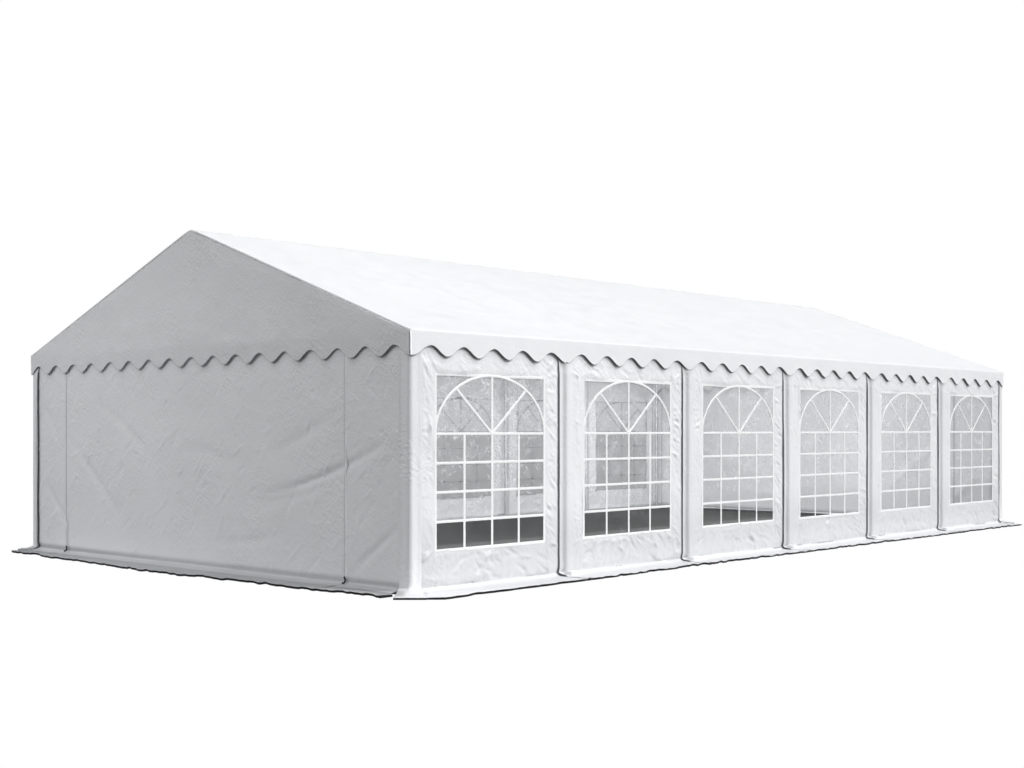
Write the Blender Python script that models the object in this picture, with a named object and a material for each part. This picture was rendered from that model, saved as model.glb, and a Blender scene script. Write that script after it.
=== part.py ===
"""Marquee tent: a gabled PVC tent of six bays on a frame of steel tubes.

Metres, +Z up. The origin is the centre of the ground plan, at ground level.
+X runs along the ridge. The long side with windows that faces -Y is the front,
and the gable at -X is the near one. The back and the far gable repeat them,
turned half round. The cover is a skin of butted and layered sheets around the
tubes, each thicker than the real cloth.
"""

import math

import bmesh
import bpy
from mathutils import Matrix, Vector

# Driving dimensions of the frame
BAYS = 6
BAY_LENGTH = 2.0
SPAN = 6.0                  # across, post centre to post centre
EAVE_HEIGHT = 2.18          # outer fold of the roof above the long walls
RIDGE_HEIGHT = 3.31         # outer top of the roof

TUBE_RADIUS = 0.019
SLEEVE_RADIUS = 0.024
SLEEVE_REACH = 0.06         # a sleeve runs this far from the arch's middle plane
SLEEVE_STOP = 0.012         # and this far towards the gable on the arches at the ends
FOOT_SIZE = 0.10
FOOT_THICKNESS = 0.006
TUBE_RESOLUTION = 2         # gives a tube 8 sides

# Driving dimensions of the cover
SHEET = 0.006
FILM = 0.003
GAP = 0.0003                # between neighbours that touch
CORNER_WIDTH = 0.13         # each leg of a corner cover
CORNER_TONGUE = 0.257       # how far its foot reaches out along X and Y
TONGUE_INNER = 0.068        # where the foot's straight edge starts, beyond the corner
FLAP_WIDTH = 0.34           # ground flap outside the walls
SEAM_OFFSET = 0.11          # a panel seam lies this far before the post
DOOR_SIDE = 0.75            # from the tent's corner to the door's zip

WINDOW_WIDTH = 1.40         # rectangular; the arch over its panes is a bar on the film
WINDOW_SILL = 0.355
WINDOW_TOP = 1.82
FILM_MARGIN = 0.03          # how far the film reaches past the windows

SIDE_SCALLOPS = 30
GABLE_SCALLOPS = 17
SCALLOP_STEPS = 6
VALANCE_MEAN = 0.166        # middle of the scalloped edge, below the eave
SCALLOP_SWING = 0.045

# Where things lie, worked out from the dimensions above
HALF_LENGTH = BAYS * BAY_LENGTH / 2
HALF_SPAN = SPAN / 2

SIDE_IN = HALF_SPAN + SLEEVE_RADIUS + GAP
SIDE_OUT = SIDE_IN + SHEET
VALANCE_IN = SIDE_OUT + GAP
VALANCE_OUT = VALANCE_IN + SHEET
FILM_OUT = SIDE_IN - GAP
FILM_IN = FILM_OUT - FILM

GABLE_IN = HALF_LENGTH + SLEEVE_RADIUS + GAP
GABLE_OUT = GABLE_IN + SHEET
GABLE_TOP_IN = GABLE_OUT + GAP
GABLE_TOP_OUT = GABLE_TOP_IN + SHEET

PITCH_RISE = (RIDGE_HEIGHT - EAVE_HEIGHT) / VALANCE_OUT
PITCH_COS = 1 / math.hypot(1, PITCH_RISE)
ROOF_DROP = SHEET / PITCH_COS
RAFTER_DROP = ROOF_DROP + (GAP + SLEEVE_RADIUS) / PITCH_COS

WALL_TOP = RIDGE_HEIGHT - SIDE_OUT * PITCH_RISE - ROOF_DROP - GAP
GROUND_BAR_Z = FOOT_THICKNESS + TUBE_RADIUS + 2 * GAP
FRAME_END = SLEEVE_RADIUS - GAP        # the long tubes end here beyond the last post centre
FOOT_EDGE = HALF_SPAN + SLEEVE_RADIUS - 4 * GAP   # outer edge of a foot plate
SOCKET_ROOT = SLEEVE_RADIUS + 2 * GAP  # a gable ground bar stops this far from the post's centre
MID_PURLIN_Y = HALF_SPAN / 2

# Colours: linear RGB, roughness and metallic value
COVER_SHADE = ((0.86, 0.87, 0.88), 0.42, 0.0)
FILM_SHADE = ((0.62, 0.65, 0.68), 0.12, 0.0)
STEEL_SHADE = ((0.60, 0.61, 0.62), 0.38, 1.0)

ACROSS = Matrix.Rotation(math.pi / 2, 4, "X")          # outline (x, z), thickness along Y
ENDWISE = Matrix.Rotation(math.pi / 2, 4, "Z") @ ACROSS  # outline (y, z), thickness along X
HALF_TURN = Matrix.Rotation(math.pi, 4, "Z")


def clear_scene():
    for old in list(bpy.data.objects):
        bpy.data.objects.remove(old, do_unlink=True)


def make_collection(name):
    group = bpy.data.collections.new(name)
    bpy.context.scene.collection.children.link(group)
    return group


def make_material(name, shade):
    colour, roughness, metallic = shade
    material = bpy.data.materials.new(name)
    material.use_nodes = True
    shader = material.node_tree.nodes["Principled BSDF"]
    shader.inputs["Base Color"].default_value = (*colour, 1.0)
    shader.inputs["Roughness"].default_value = roughness
    shader.inputs["Metallic"].default_value = metallic
    return material


def roof_under(y):
    """Height of the roof sheet's underside, y from the ridge line."""
    return RIDGE_HEIGHT - abs(y) * PITCH_RISE - ROOF_DROP


def rafter_axis(y):
    """Height of the rafters' and purlins' axes, y from the ridge line."""
    return RIDGE_HEIGHT - abs(y) * PITCH_RISE - RAFTER_DROP


# Solids that other solids are made from

def helper_object(mesh):
    helper = bpy.data.objects.new("helper", mesh)
    bpy.context.scene.collection.objects.link(helper)
    return helper


def evaluated_mesh(source):
    """A mesh of the object with its modifiers applied, its caps welded, its place kept."""
    depsgraph = bpy.context.evaluated_depsgraph_get()
    mesh = bpy.data.meshes.new_from_object(source.evaluated_get(depsgraph))
    mesh.transform(source.matrix_world)
    edit = bmesh.new()
    edit.from_mesh(mesh)
    bmesh.ops.remove_doubles(edit, verts=edit.verts, dist=1e-6)
    bmesh.ops.recalc_face_normals(edit, faces=edit.faces)
    edit.to_mesh(mesh)
    edit.free()
    return mesh


def prism(outlines, thickness, turn=Matrix.Identity(4), start=0.0):
    """A plate from closed outlines, the later ones holes, its thickness from start upwards."""
    curve = bpy.data.curves.new("outline", "CURVE")
    curve.dimensions = "2D"
    curve.fill_mode = "BOTH"
    curve.extrude = thickness / 2
    for outline in outlines:
        spline = curve.splines.new("POLY")
        spline.points.add(len(outline) - 1)
        for point, (a, b) in zip(spline.points, outline):
            point.co = (a, b, 0.0, 1.0)
        spline.use_cyclic_u = True
    source = helper_object(curve)
    source.matrix_world = turn @ Matrix.Translation((0, 0, start + thickness / 2))
    bpy.context.view_layer.update()
    mesh = evaluated_mesh(source)
    bpy.data.objects.remove(source)
    return mesh


def tube(points, radius):
    """A closed round bar along straight runs between the points."""
    curve = bpy.data.curves.new("run", "CURVE")
    curve.dimensions = "3D"
    curve.bevel_depth = radius
    curve.bevel_resolution = TUBE_RESOLUTION
    curve.use_fill_caps = True
    spline = curve.splines.new("POLY")
    spline.points.add(len(points) - 1)
    for point, place_on_run in zip(spline.points, points):
        point.co = (*place_on_run, 1.0)
    source = helper_object(curve)
    bpy.context.view_layer.update()
    mesh = evaluated_mesh(source)
    bpy.data.objects.remove(source)
    return mesh


def block(low, high):
    """A box from its lowest to its highest corner."""
    low, high = Vector(low), Vector(high)
    mesh = bpy.data.meshes.new("block")
    edit = bmesh.new()
    size = Matrix.Diagonal((*(high - low), 1.0))
    bmesh.ops.create_cube(edit, size=1.0, matrix=Matrix.Translation((low + high) / 2) @ size)
    edit.to_mesh(mesh)
    edit.free()
    return mesh


def fuse(solids, bores=()):
    """One body from several solids, with the bores cut out of it."""
    base = helper_object(solids[0])
    tools = []
    for operation, group in (("UNION", solids[1:]), ("DIFFERENCE", bores)):
        for mesh in group:
            tool = helper_object(mesh)
            tools.append(tool)
            cut = base.modifiers.new(operation.lower(), "BOOLEAN")
            cut.operation = operation
            cut.solver = "EXACT"
            cut.object = tool
    bpy.context.view_layer.update()
    fused = evaluated_mesh(base)
    for helper in [base, *tools]:
        bpy.data.objects.remove(helper)
    return fused


def place(name, mesh, material, group, turn=Matrix.Identity(4)):
    """Put a mesh in the scene as a named piece with a material of its own."""
    piece = bpy.data.objects.new(name, mesh)
    piece.matrix_world = turn
    group.objects.link(piece)
    piece.data.materials.clear()
    piece.data.materials.append(material)
    return piece


# Steel frame

def purlin_places():
    """Name, y and z of each tube that runs the whole length and rests in the arches."""
    eave = rafter_axis(HALF_SPAN)
    mid = rafter_axis(MID_PURLIN_Y)
    return [
        ("ridge_purlin", 0.0, rafter_axis(0.0)),
        ("eave_purlin_front", -HALF_SPAN, eave),
        ("eave_purlin_back", HALF_SPAN, eave),
        ("mid_purlin_front", -MID_PURLIN_Y, mid),
        ("mid_purlin_back", MID_PURLIN_Y, mid),
        ("ground_bar_front", -HALF_SPAN, GROUND_BAR_Z),
        ("ground_bar_back", HALF_SPAN, GROUND_BAR_Z),
    ]


def arch_mesh(outer_reach):
    """Posts and rafters, with sleeves and feet. Outer reach is towards -X, inner is full."""
    knee_z = rafter_axis(HALF_SPAN)
    foot_z = FOOT_THICKNESS / 2
    run = [
        (0, -HALF_SPAN, foot_z), (0, -HALF_SPAN, knee_z), (0, 0, rafter_axis(0.0)),
        (0, HALF_SPAN, knee_z), (0, HALF_SPAN, foot_z),
    ]
    solids = [tube(run, TUBE_RADIUS)]
    bores = []
    for side in (-1, 1):
        foot_y = sorted((side * FOOT_EDGE, side * (FOOT_EDGE - FOOT_SIZE)))
        low = (-min(outer_reach, FOOT_SIZE / 2), foot_y[0], 0)
        solids.append(block(low, (FOOT_SIZE / 2, foot_y[1], FOOT_THICKNESS)))
    for _, y, z in purlin_places():
        solids.append(tube([(-outer_reach, y, z), (SLEEVE_REACH, y, z)], SLEEVE_RADIUS))
        bores.append(tube([(-2 * SLEEVE_REACH, y, z), (2 * SLEEVE_REACH, y, z)], TUBE_RADIUS + GAP))
    if outer_reach < SLEEVE_REACH:
        for side in (-1, 1):
            post = (0, side * HALF_SPAN, GROUND_BAR_Z)
            mouth = (0, side * (HALF_SPAN - SLEEVE_REACH), GROUND_BAR_Z)
            root = (0, side * (HALF_SPAN - SOCKET_ROOT), GROUND_BAR_Z)
            solids.append(tube([post, mouth], SLEEVE_RADIUS))
            bores.append(tube([root, (0, 0, GROUND_BAR_Z)], TUBE_RADIUS + GAP))
    return fuse(solids, bores)


def build_frame(steel, group):
    middle = arch_mesh(SLEEVE_REACH)
    end = arch_mesh(SLEEVE_STOP)
    for number in range(BAYS + 1):
        x = -HALF_LENGTH + number * BAY_LENGTH
        is_end = number in (0, BAYS)
        turn = Matrix.Translation((x, 0, 0))
        if number == BAYS:
            turn = turn @ HALF_TURN
        place(f"arch_{number + 1}", end if is_end else middle, steel, group, turn)
    tube_end = HALF_LENGTH + FRAME_END
    for name, y, z in purlin_places():
        place(name, tube([(-tube_end, y, z), (tube_end, y, z)], TUBE_RADIUS), steel, group)
    bar_end = HALF_SPAN - SOCKET_ROOT - GAP
    for name, x in (("ground_bar_near", -HALF_LENGTH), ("ground_bar_far", HALF_LENGTH)):
        bar = tube([(x, -bar_end, GROUND_BAR_Z), (x, bar_end, GROUND_BAR_Z)], TUBE_RADIUS)
        place(name, bar, steel, group)


# Cover

def roof_mesh():
    under_eave = roof_under(VALANCE_OUT)
    outline = [
        (-VALANCE_OUT, EAVE_HEIGHT), (0.0, RIDGE_HEIGHT), (VALANCE_OUT, EAVE_HEIGHT),
        (VALANCE_OUT, under_eave), (0.0, roof_under(0.0)), (-VALANCE_OUT, under_eave),
    ]
    return prism([outline], 2 * GABLE_TOP_OUT, ENDWISE, -GABLE_TOP_OUT)


def scalloped_edge(half_width, scallops):
    """Points of the wavy lower edge from -half_width to half_width, low at both ends."""
    steps = scallops * SCALLOP_STEPS
    points = []
    for step in range(steps + 1):
        share = step / steps
        drop = VALANCE_MEAN + SCALLOP_SWING * math.cos(2 * math.pi * scallops * share)
        points.append((half_width * (2 * share - 1), EAVE_HEIGHT - drop))
    return points


def valance_mesh():
    """Strip that hangs from the eave, in front of the wall at -Y."""
    top = roof_under(VALANCE_OUT) - GAP
    outline = scalloped_edge(GABLE_TOP_OUT, SIDE_SCALLOPS) + [(GABLE_TOP_OUT, top), (-GABLE_TOP_OUT, top)]
    return prism([outline], SHEET, ACROSS, VALANCE_IN)


def gable_top_mesh():
    """Triangle under the roof with its own scalloped edge, at -X."""
    shoulder = roof_under(SIDE_OUT) - GAP
    outline = scalloped_edge(SIDE_OUT, GABLE_SCALLOPS)
    outline += [(SIDE_OUT, shoulder), (0.0, roof_under(0.0) - GAP), (-SIDE_OUT, shoulder)]
    return prism([outline], SHEET, ENDWISE, -GABLE_TOP_OUT)


def wall_with_flap(start, end, inner, outer):
    """Wall sheet along X from start to end at -Y, turned outwards along the ground."""
    profile = [
        (-inner, 0.0), (-inner, WALL_TOP), (-outer, WALL_TOP),
        (-outer, SHEET), (-outer - FLAP_WIDTH, SHEET), (-outer - FLAP_WIDTH, 0.0),
    ]
    return prism([profile], end - start, ENDWISE, start)


def upright_cutter(seam, side, inner, outer):
    """Block that trims a wall sheet back to its seam, down to the ground."""
    xs = sorted((seam, seam + side * 2 * CORNER_TONGUE))
    return block((xs[0], -outer, -SHEET), (xs[1], -inner + SHEET, EAVE_HEIGHT))


def mitre_cutter(corner_x, corner_y, side):
    """Block beyond the end of a flap on that side.

    The end slants along the foot of the corner cover, then leans back towards the corner's line."""
    seam = corner_x - side * (CORNER_WIDTH + GAP)
    lean = (CORNER_WIDTH + TONGUE_INNER) / CORNER_TONGUE
    far = 2 * CORNER_TONGUE
    outline = [
        (seam, corner_y), (seam + side * lean * CORNER_TONGUE, corner_y - CORNER_TONGUE),
        (corner_x, corner_y - far), (seam + side * 2 * far, corner_y - far), (seam + side * 2 * far, corner_y),
    ]
    return prism([outline], 4 * SHEET, start=-SHEET)


def wall_mesh(start, end, inner, outer, corner, mitred_sides, cutters=()):
    """Wall sheet between two seams, its flap mitred on the sides (-1, 1) next to a corner cover."""
    reach = {side: CORNER_TONGUE if side in mitred_sides else -GAP / 2 for side in (-1, 1)}
    sheet = wall_with_flap(start - reach[-1], end + reach[1], inner, outer)
    cutters = list(cutters)
    for side in mitred_sides:
        seam = start if side < 0 else end
        cutters.append(upright_cutter(seam, side, inner, outer))
        cutters.append(mitre_cutter(side * corner, -outer, side))
    return fuse([sheet], cutters)


def seam_places():
    """X of each upright seam along the front, from corner cover to corner cover."""
    corner = GABLE_OUT - CORNER_WIDTH - GAP
    seams = [-HALF_LENGTH + number * BAY_LENGTH - SEAM_OFFSET for number in range(1, BAYS)]
    return [-corner, *seams, corner]


def window_panel_mesh(number, seams):
    """Wall of one bay, between two seams, with its window cut through and its ground flap."""
    centre = -HALF_LENGTH + (number + 0.5) * BAY_LENGTH
    half = WINDOW_WIDTH / 2
    low = (centre - half, -SIDE_OUT - SHEET, WINDOW_SILL)
    high = (centre + half, -SIDE_IN + SHEET, WINDOW_TOP)
    mitred_sides = {0: [-1], BAYS - 1: [1]}.get(number, [])
    return wall_mesh(
        seams[number], seams[number + 1], SIDE_IN, SIDE_OUT, GABLE_OUT, mitred_sides, [block(low, high)])


def gable_panel_meshes():
    """Left side, door and right side of a gable, made along X at -Y."""
    corner = SIDE_OUT - CORNER_WIDTH - GAP
    zip_line = SIDE_OUT - DOOR_SIDE
    spans = [
        ("gable_side_left", -corner, -zip_line, [-1]),
        ("gable_door", -zip_line, zip_line, []),
        ("gable_side_right", zip_line, corner, [1]),
    ]
    return [
        (name, wall_mesh(start, end, GABLE_IN, GABLE_OUT, SIDE_OUT, mitred_sides))
        for name, start, end, mitred_sides in spans
    ]


def corner_mesh():
    """L-shaped cover round the corner at -X and -Y, its foot spread on the ground."""
    x, y = -GABLE_OUT, -SIDE_OUT
    wide, thick = CORNER_WIDTH, SHEET
    legs = [
        (x, y), (x + wide, y), (x + wide, y + thick),
        (x + thick, y + thick), (x + thick, y + wide), (x, y + wide),
    ]
    half = thick / 2
    foot = [
        (x + wide, y), (x + wide - half, y + half), (x + half, y + half),
        (x + half, y + wide - half), (x, y + wide),
        (x - CORNER_TONGUE, y - TONGUE_INNER), (x - TONGUE_INNER, y - CORNER_TONGUE),
    ]
    return fuse([prism([legs], WALL_TOP), prism([foot], SHEET)])


def film_mesh():
    """Clear sheet behind all six windows of the wall at -Y."""
    reach = HALF_LENGTH - BAY_LENGTH / 2 + WINDOW_WIDTH / 2 + FILM_MARGIN
    low, high = WINDOW_SILL - FILM_MARGIN, WINDOW_TOP + FILM_MARGIN
    return block((-reach, -FILM_OUT, low), (reach, -FILM_IN, high))


def build_long_sides(cover, film, group):
    seams = seam_places()
    panels = [window_panel_mesh(number, seams) for number in range(BAYS)]
    valance = valance_mesh()
    clear = film_mesh()
    for side, turn in (("front", Matrix.Identity(4)), ("back", HALF_TURN)):
        for number, mesh in enumerate(panels):
            place(f"window_panel_{side}_{number + 1}", mesh, cover, group, turn)
        place(f"valance_{side}", valance, cover, group, turn)
        place(f"window_film_{side}", clear, film, group, turn)


def build_gables(cover, group):
    to_gable = Matrix.Rotation(-math.pi / 2, 4, "Z")
    pieces = gable_panel_meshes()
    top = gable_top_mesh()
    for end, turn in (("near", Matrix.Identity(4)), ("far", HALF_TURN)):
        for name, mesh in pieces:
            place(f"{name}_{end}", mesh, cover, group, turn @ to_gable)
        place(f"gable_top_{end}", top, cover, group, turn)


def build_corners(cover, group):
    corner = corner_mesh()
    mirrored = corner.copy()
    mirrored.transform(Matrix.Scale(-1, 4, (0, 1, 0)))
    mirrored.flip_normals()
    for end, turn in (("near", Matrix.Identity(4)), ("far", HALF_TURN)):
        front, back = (corner, mirrored) if end == "near" else (mirrored, corner)
        place(f"corner_cover_{end}_front", front, cover, group, turn)
        place(f"corner_cover_{end}_back", back, cover, group, turn)


def build():
    clear_scene()
    group = make_collection("marquee_tent")
    steel = make_material("galvanised_steel", STEEL_SHADE)
    cover = make_material("white_cover", COVER_SHADE)
    film = make_material("window_film", FILM_SHADE)
    build_frame(steel, group)
    place("roof_cover", roof_mesh(), cover, group)
    build_long_sides(cover, film, group)
    build_gables(cover, group)
    build_corners(cover, group)


build()
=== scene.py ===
"""Looks of the marquee tent: PVC cloth, clear film with its bars, piping, zips and steel.

Metres, +Z up, +X along the ridge. Each of the four sides has its own plane: along it, to the right
as seen from outside, out from the tent's centre, and up. The front faces -Y, the near gable -X.
Cloth is laid out on a grid: a is the distance along a side, and t the distance down the cloth.
"""

import math

import bpy
import numpy as np
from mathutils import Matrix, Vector


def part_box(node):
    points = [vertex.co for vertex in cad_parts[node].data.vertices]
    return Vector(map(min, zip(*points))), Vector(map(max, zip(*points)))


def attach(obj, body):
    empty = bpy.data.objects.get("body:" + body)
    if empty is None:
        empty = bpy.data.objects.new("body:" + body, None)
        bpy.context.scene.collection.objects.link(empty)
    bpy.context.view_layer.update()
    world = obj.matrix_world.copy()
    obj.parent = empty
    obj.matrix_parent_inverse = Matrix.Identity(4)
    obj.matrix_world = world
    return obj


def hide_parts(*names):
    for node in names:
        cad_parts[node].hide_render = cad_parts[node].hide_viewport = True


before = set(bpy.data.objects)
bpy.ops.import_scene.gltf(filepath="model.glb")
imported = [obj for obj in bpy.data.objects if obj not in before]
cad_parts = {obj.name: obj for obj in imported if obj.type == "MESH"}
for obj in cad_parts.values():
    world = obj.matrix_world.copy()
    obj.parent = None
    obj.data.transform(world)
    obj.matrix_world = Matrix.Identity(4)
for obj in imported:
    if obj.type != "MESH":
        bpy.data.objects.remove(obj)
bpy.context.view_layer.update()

# The camera, fitted to the tent's corners, seams and ridge in the photograph
CAMERA_PLACE = (-14.018, -11.115, 1.362)
CAMERA_YAW = 0.7709            # from +X towards +Y
CAMERA_LENS = 48.55
SENSOR_WIDTH = 36.0
CAMERA_SHIFT = (0.0718, 0.0443)

# The tent's main sizes, as in the frame
BAYS = 6
BAY = 2.0
HALF_LENGTH = BAYS * BAY / 2
EAVE = 2.18
ROOF_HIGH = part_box("roof_cover")[1]
RIDGE = ROOF_HIGH.z
EAVE_OUT = ROOF_HIGH.y
VERGE_OUT = ROOF_HIGH.x
PITCH = (RIDGE - EAVE) / EAVE_OUT
SHARP = math.radians(50)       # angle from which an edge is drawn sharp
CLOTH = 0.006                  # thickness of the frame's cloth solids
SIDE_PLANE = -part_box("window_panel_front_2")[1].y + CLOTH / 2
GABLE_PLANE = -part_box("gable_door_near")[1].x + CLOTH / 2
FLAP = -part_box("window_panel_front_2")[0].y - SIDE_PLANE
SEAMS = [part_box(f"window_panel_front_{number}")[0].x for number in range(2, BAYS + 1)]
CORNER_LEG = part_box("corner_cover_near_front")[1].x + GABLE_PLANE
DOOR_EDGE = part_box("gable_door_near")[1].y
ZIP_LINES = -DOOR_EDGE - 0.025, DOOR_EDGE - 0.053
WALL_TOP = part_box("window_panel_front_2")[1].z

# A window: a rectangle of film with an arch and bars on it
WINDOW_SHIFT = -0.0185         # of the windows, from the middle of their bays
WINDOW_HALF = 0.705
WINDOW_SILL = 0.3445
WINDOW_TOP = 1.823
BORDER_WIDTH = 0.028
BORDER_PROUD = 0.020           # of the border, beyond the opening
BAR_WIDTH = 0.027
ARCH_SPRING = 1.324
ROW_BARS = (1.0765, 0.8305, 0.5825)
COLUMN_BARS = (-0.355, 0.0, 0.355)
SPOKE_ANGLE = math.radians(50)

# Waves of the valances
SIDE_WAVES = 30
GABLE_WAVES = 17
WAVE_MEAN = 0.161              # middle of the waves, below the eave
WAVE_SWING = 0.045
VALANCE_END = 0.004            # how far a valance reaches past the corner
VALANCE_OFF = 0.010            # of the valance, from the wall
TURN_RADIUS = 0.014            # of the valance where it turns a corner
VALANCE_COVERS = 1.86, 2.04    # heights from where it hides some of the wall, and all of it
SIDE_REACH, GABLE_REACH = VERGE_OUT + VALANCE_END, EAVE_OUT + VALANCE_END    # half a valance's length

# Where the low and high points of one bay's waves lie, counted in even waves
WAVE_PLACES = (0.06, 0.62, 1.10, 1.595, 2.085, 2.56, 3.05, 3.515, 4.015, 4.50)

# Edges of the roof and of the walls
ROOF_X, ROOF_Y = VERGE_OUT + 0.006, EAVE_OUT + 0.004
ROOF_RADIUS, ROOF_HEM = 0.016, 0.016    # where the roof's edges turn down, and how far they hang
COVER_OFF = 0.007              # of the corner covers, from the walls
LOOSE_EDGE = 0.012             # how far the cloth's own ends keep off the corners

LONG_SIDES = ("front", "back")

# Mesh steps of the cloth
FRONT_STEP = 0.0125
BACK_STEP = 0.024
NEAR_STEP = 0.016
FAR_STEP = 0.034
ROOF_STEP = 0.05
FIRST_FILM_STEP = 0.0085
FILM_STEP = 0.02
BACK_FILM_STEP = 0.03


# Random fields and creases

def smoothstep(value, low, high):
    share = np.clip((value - low) / (high - low), 0.0, 1.0)
    return share * share * (3 - 2 * share)


NOISE_CELLS = 61, 67           # before the noise repeats


def soft_noise(a, b, seed):
    """Smooth random field between about -1 and 1, one cell a unit."""
    table = np.random.default_rng(seed).uniform(-1, 1, NOISE_CELLS)
    a, b = np.broadcast_arrays(np.asarray(a, float), np.asarray(b, float))
    i, j = np.floor(a).astype(int), np.floor(b).astype(int)
    u, v = a - i, b - j
    u, v = u * u * u * (u * (6 * u - 15) + 10), v * v * v * (v * (6 * v - 15) + 10)

    def corner(di, dj):
        return table[(i + di) % NOISE_CELLS[0], (j + dj) % NOISE_CELLS[1]]

    low = corner(0, 0) * (1 - u) + corner(1, 0) * u
    high = corner(0, 1) * (1 - u) + corner(1, 1) * u
    return low * (1 - v) + high * v


def sharp_noise(a, b, seed):
    """Random field with narrow ridges, from 0 to 1, for crumpled cloth."""
    return (1 - np.abs(soft_noise(a, b, seed))) ** 3


def line_noise(place, seed):
    """Smooth random line between about -1 and 1, one cell a unit."""
    return soft_noise(place, 0.5, seed)


class Creases:
    """Relief over the grid t x a, with creases pressed in.

    Share is how many of the random creases are made, less than 1 on a coarse grid."""

    def __init__(self, a, t, seed, relief, share=1.0):
        self.a, self.t, self.relief, self.share = a, t, relief, share
        self.rng = np.random.default_rng(seed)

    def press(self, centre, angle, length, width, height, bend=0.0):
        """Adds one crease. The angle opens from along towards down."""
        reach = length / 2 + 3 * width
        cols = slice(*np.searchsorted(self.a, (centre[0] - reach, centre[0] + reach)))
        rows = slice(*np.searchsorted(self.t, (centre[1] - reach, centre[1] + reach)))
        if cols.start == cols.stop or rows.start == rows.stop:
            return
        da, dt = self.a[cols][None, :] - centre[0], self.t[rows][:, None] - centre[1]
        along = da * math.cos(angle) + dt * math.sin(angle)
        across = dt * math.cos(angle) - da * math.sin(angle) - bend * along ** 2 / length
        taper = np.clip(1 - (2 * along / length) ** 2, 0, 1) ** 1.5
        self.relief[rows, cols] += height * taper * np.exp(-((across / width) ** 2))

    def press_many(self, count, a_range, t_range, angle, spread, length, width, height):
        """Creases at random places, each range as (least, most) and the angle in degrees."""
        draw = self.rng.uniform
        for _ in range(round(count * self.share)):
            place = draw(*a_range), draw(*t_range)
            turn = math.radians(angle + self.rng.normal() * spread)
            sign = self.rng.choice((-1, 1, 1))
            self.press(place, turn, draw(*length), draw(*width), sign * draw(*height),
                       self.rng.normal() * 0.15)

    def press_fan(self, origin, count, angles, distance, length, width, height):
        """Creases that radiate from an origin, at angles in degrees."""
        draw = self.rng.uniform
        for _ in range(round(count * self.share)):
            angle = math.radians(draw(*angles))
            size = draw(*length)
            away = draw(*distance) + size / 2
            place = origin[0] + away * math.cos(angle), origin[1] + away * math.sin(angle)
            sign = self.rng.choice((-1, 1, 1))
            self.press(place, angle + self.rng.normal() * 0.06, size, draw(*width), sign * draw(*height),
                       self.rng.normal() * 0.1)


# Meshes

def on_side(side, along, out, up):
    """Points of a side's plane in the tent's frame."""
    along, out, up = np.broadcast_arrays(along, out, up)
    places = {
        "front": (along, -out), "back": (-along, out),
        "near": (-out, -along), "far": (out, along),
    }
    x, y = places[side]
    return np.stack([x, y, up], -1)


def link_object(name, data):
    thing = bpy.data.objects.new(name, data)
    bpy.context.scene.collection.objects.link(thing)
    return thing


def add_object(name, points, faces, material):
    mesh = bpy.data.meshes.new(name)
    mesh.from_pydata(points.tolist(), [], faces.tolist() if hasattr(faces, "tolist") else faces)
    mesh.shade_smooth()
    mesh.materials.append(material)
    return link_object(name, mesh)


def mark_points(piece, mark, values):
    """Puts a value on each point of a mesh, for its material to read."""
    layer = piece.data.attributes.new(mark, "FLOAT", "POINT")
    layer.data.foreach_set("value", np.asarray(values, np.float32))


def add_sheet(name, points, material, keep=None, **marks):
    """Smooth sheet over rows x columns of points. Rows run down, columns to the right from outside.

    keep says which cells are cloth. Each mark, such as shade, becomes an attribute of the mesh."""
    rows, cols = points.shape[:2]
    index = np.arange(rows * cols).reshape(rows, cols)
    cells = np.stack([index[:-1, :-1], index[1:, :-1], index[1:, 1:], index[:-1, 1:]], -1)
    cells = cells.reshape(-1, 4) if keep is None else cells[keep]
    used, faces = np.unique(cells, return_inverse=True)
    piece = add_object(name, points.reshape(-1, 3)[used], faces.reshape(-1, 4), material)
    for mark, values in marks.items():
        mark_points(piece, mark, np.reshape(values, -1)[used])
    return piece


def finish(piece):
    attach(piece, "root")


def steps(*stops, step):
    """Even steps between the stops, with a line at each stop."""
    parts = [
        np.linspace(low, high, max(1, round((high - low) / step)), endpoint=False)
        for low, high in zip(stops, stops[1:])
    ]
    return np.concatenate([*parts, [stops[-1]]])


def with_lines(grid, *places):
    """Adds grid lines close beside each place, so that a thin mark there stays sharp."""
    lines = np.add.outer(places, (-0.010, -0.004, -0.001, 0.001, 0.004, 0.010)).reshape(-1)
    lines = lines[(lines > grid[0] + 0.002) & (lines < grid[-1] - 0.002)]
    if not len(lines):
        return grid
    apart = np.abs(grid[:, None] - lines[None, :]).min(1) > 0.002
    return np.sort(np.concatenate([grid[apart], lines]))


class Solid:
    """Points and faces of several closed pieces that become one mesh."""

    def __init__(self):
        self.points, self.faces = [], []

    def add(self, rings):
        """Joins rings of equally many points into a tube with ends."""
        start, size, count = len(self.points), len(rings[0]), len(rings)
        for ring in rings:
            self.points.extend(tuple(point) for point in ring)
        for near in range(start, start + (count - 1) * size, size):
            for k in range(size):
                n = (k + 1) % size
                self.faces.append((near + k, near + n, near + size + n, near + size + k))
        self.faces.append(tuple(start + k for k in reversed(range(size))))
        self.faces.append(tuple(start + (count - 1) * size + k for k in range(size)))

    def place(self, name, material):
        piece = add_object(name, np.array(self.points, float), self.faces, material)
        piece.data.set_sharp_from_angle(angle=SHARP)
        return piece


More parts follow.
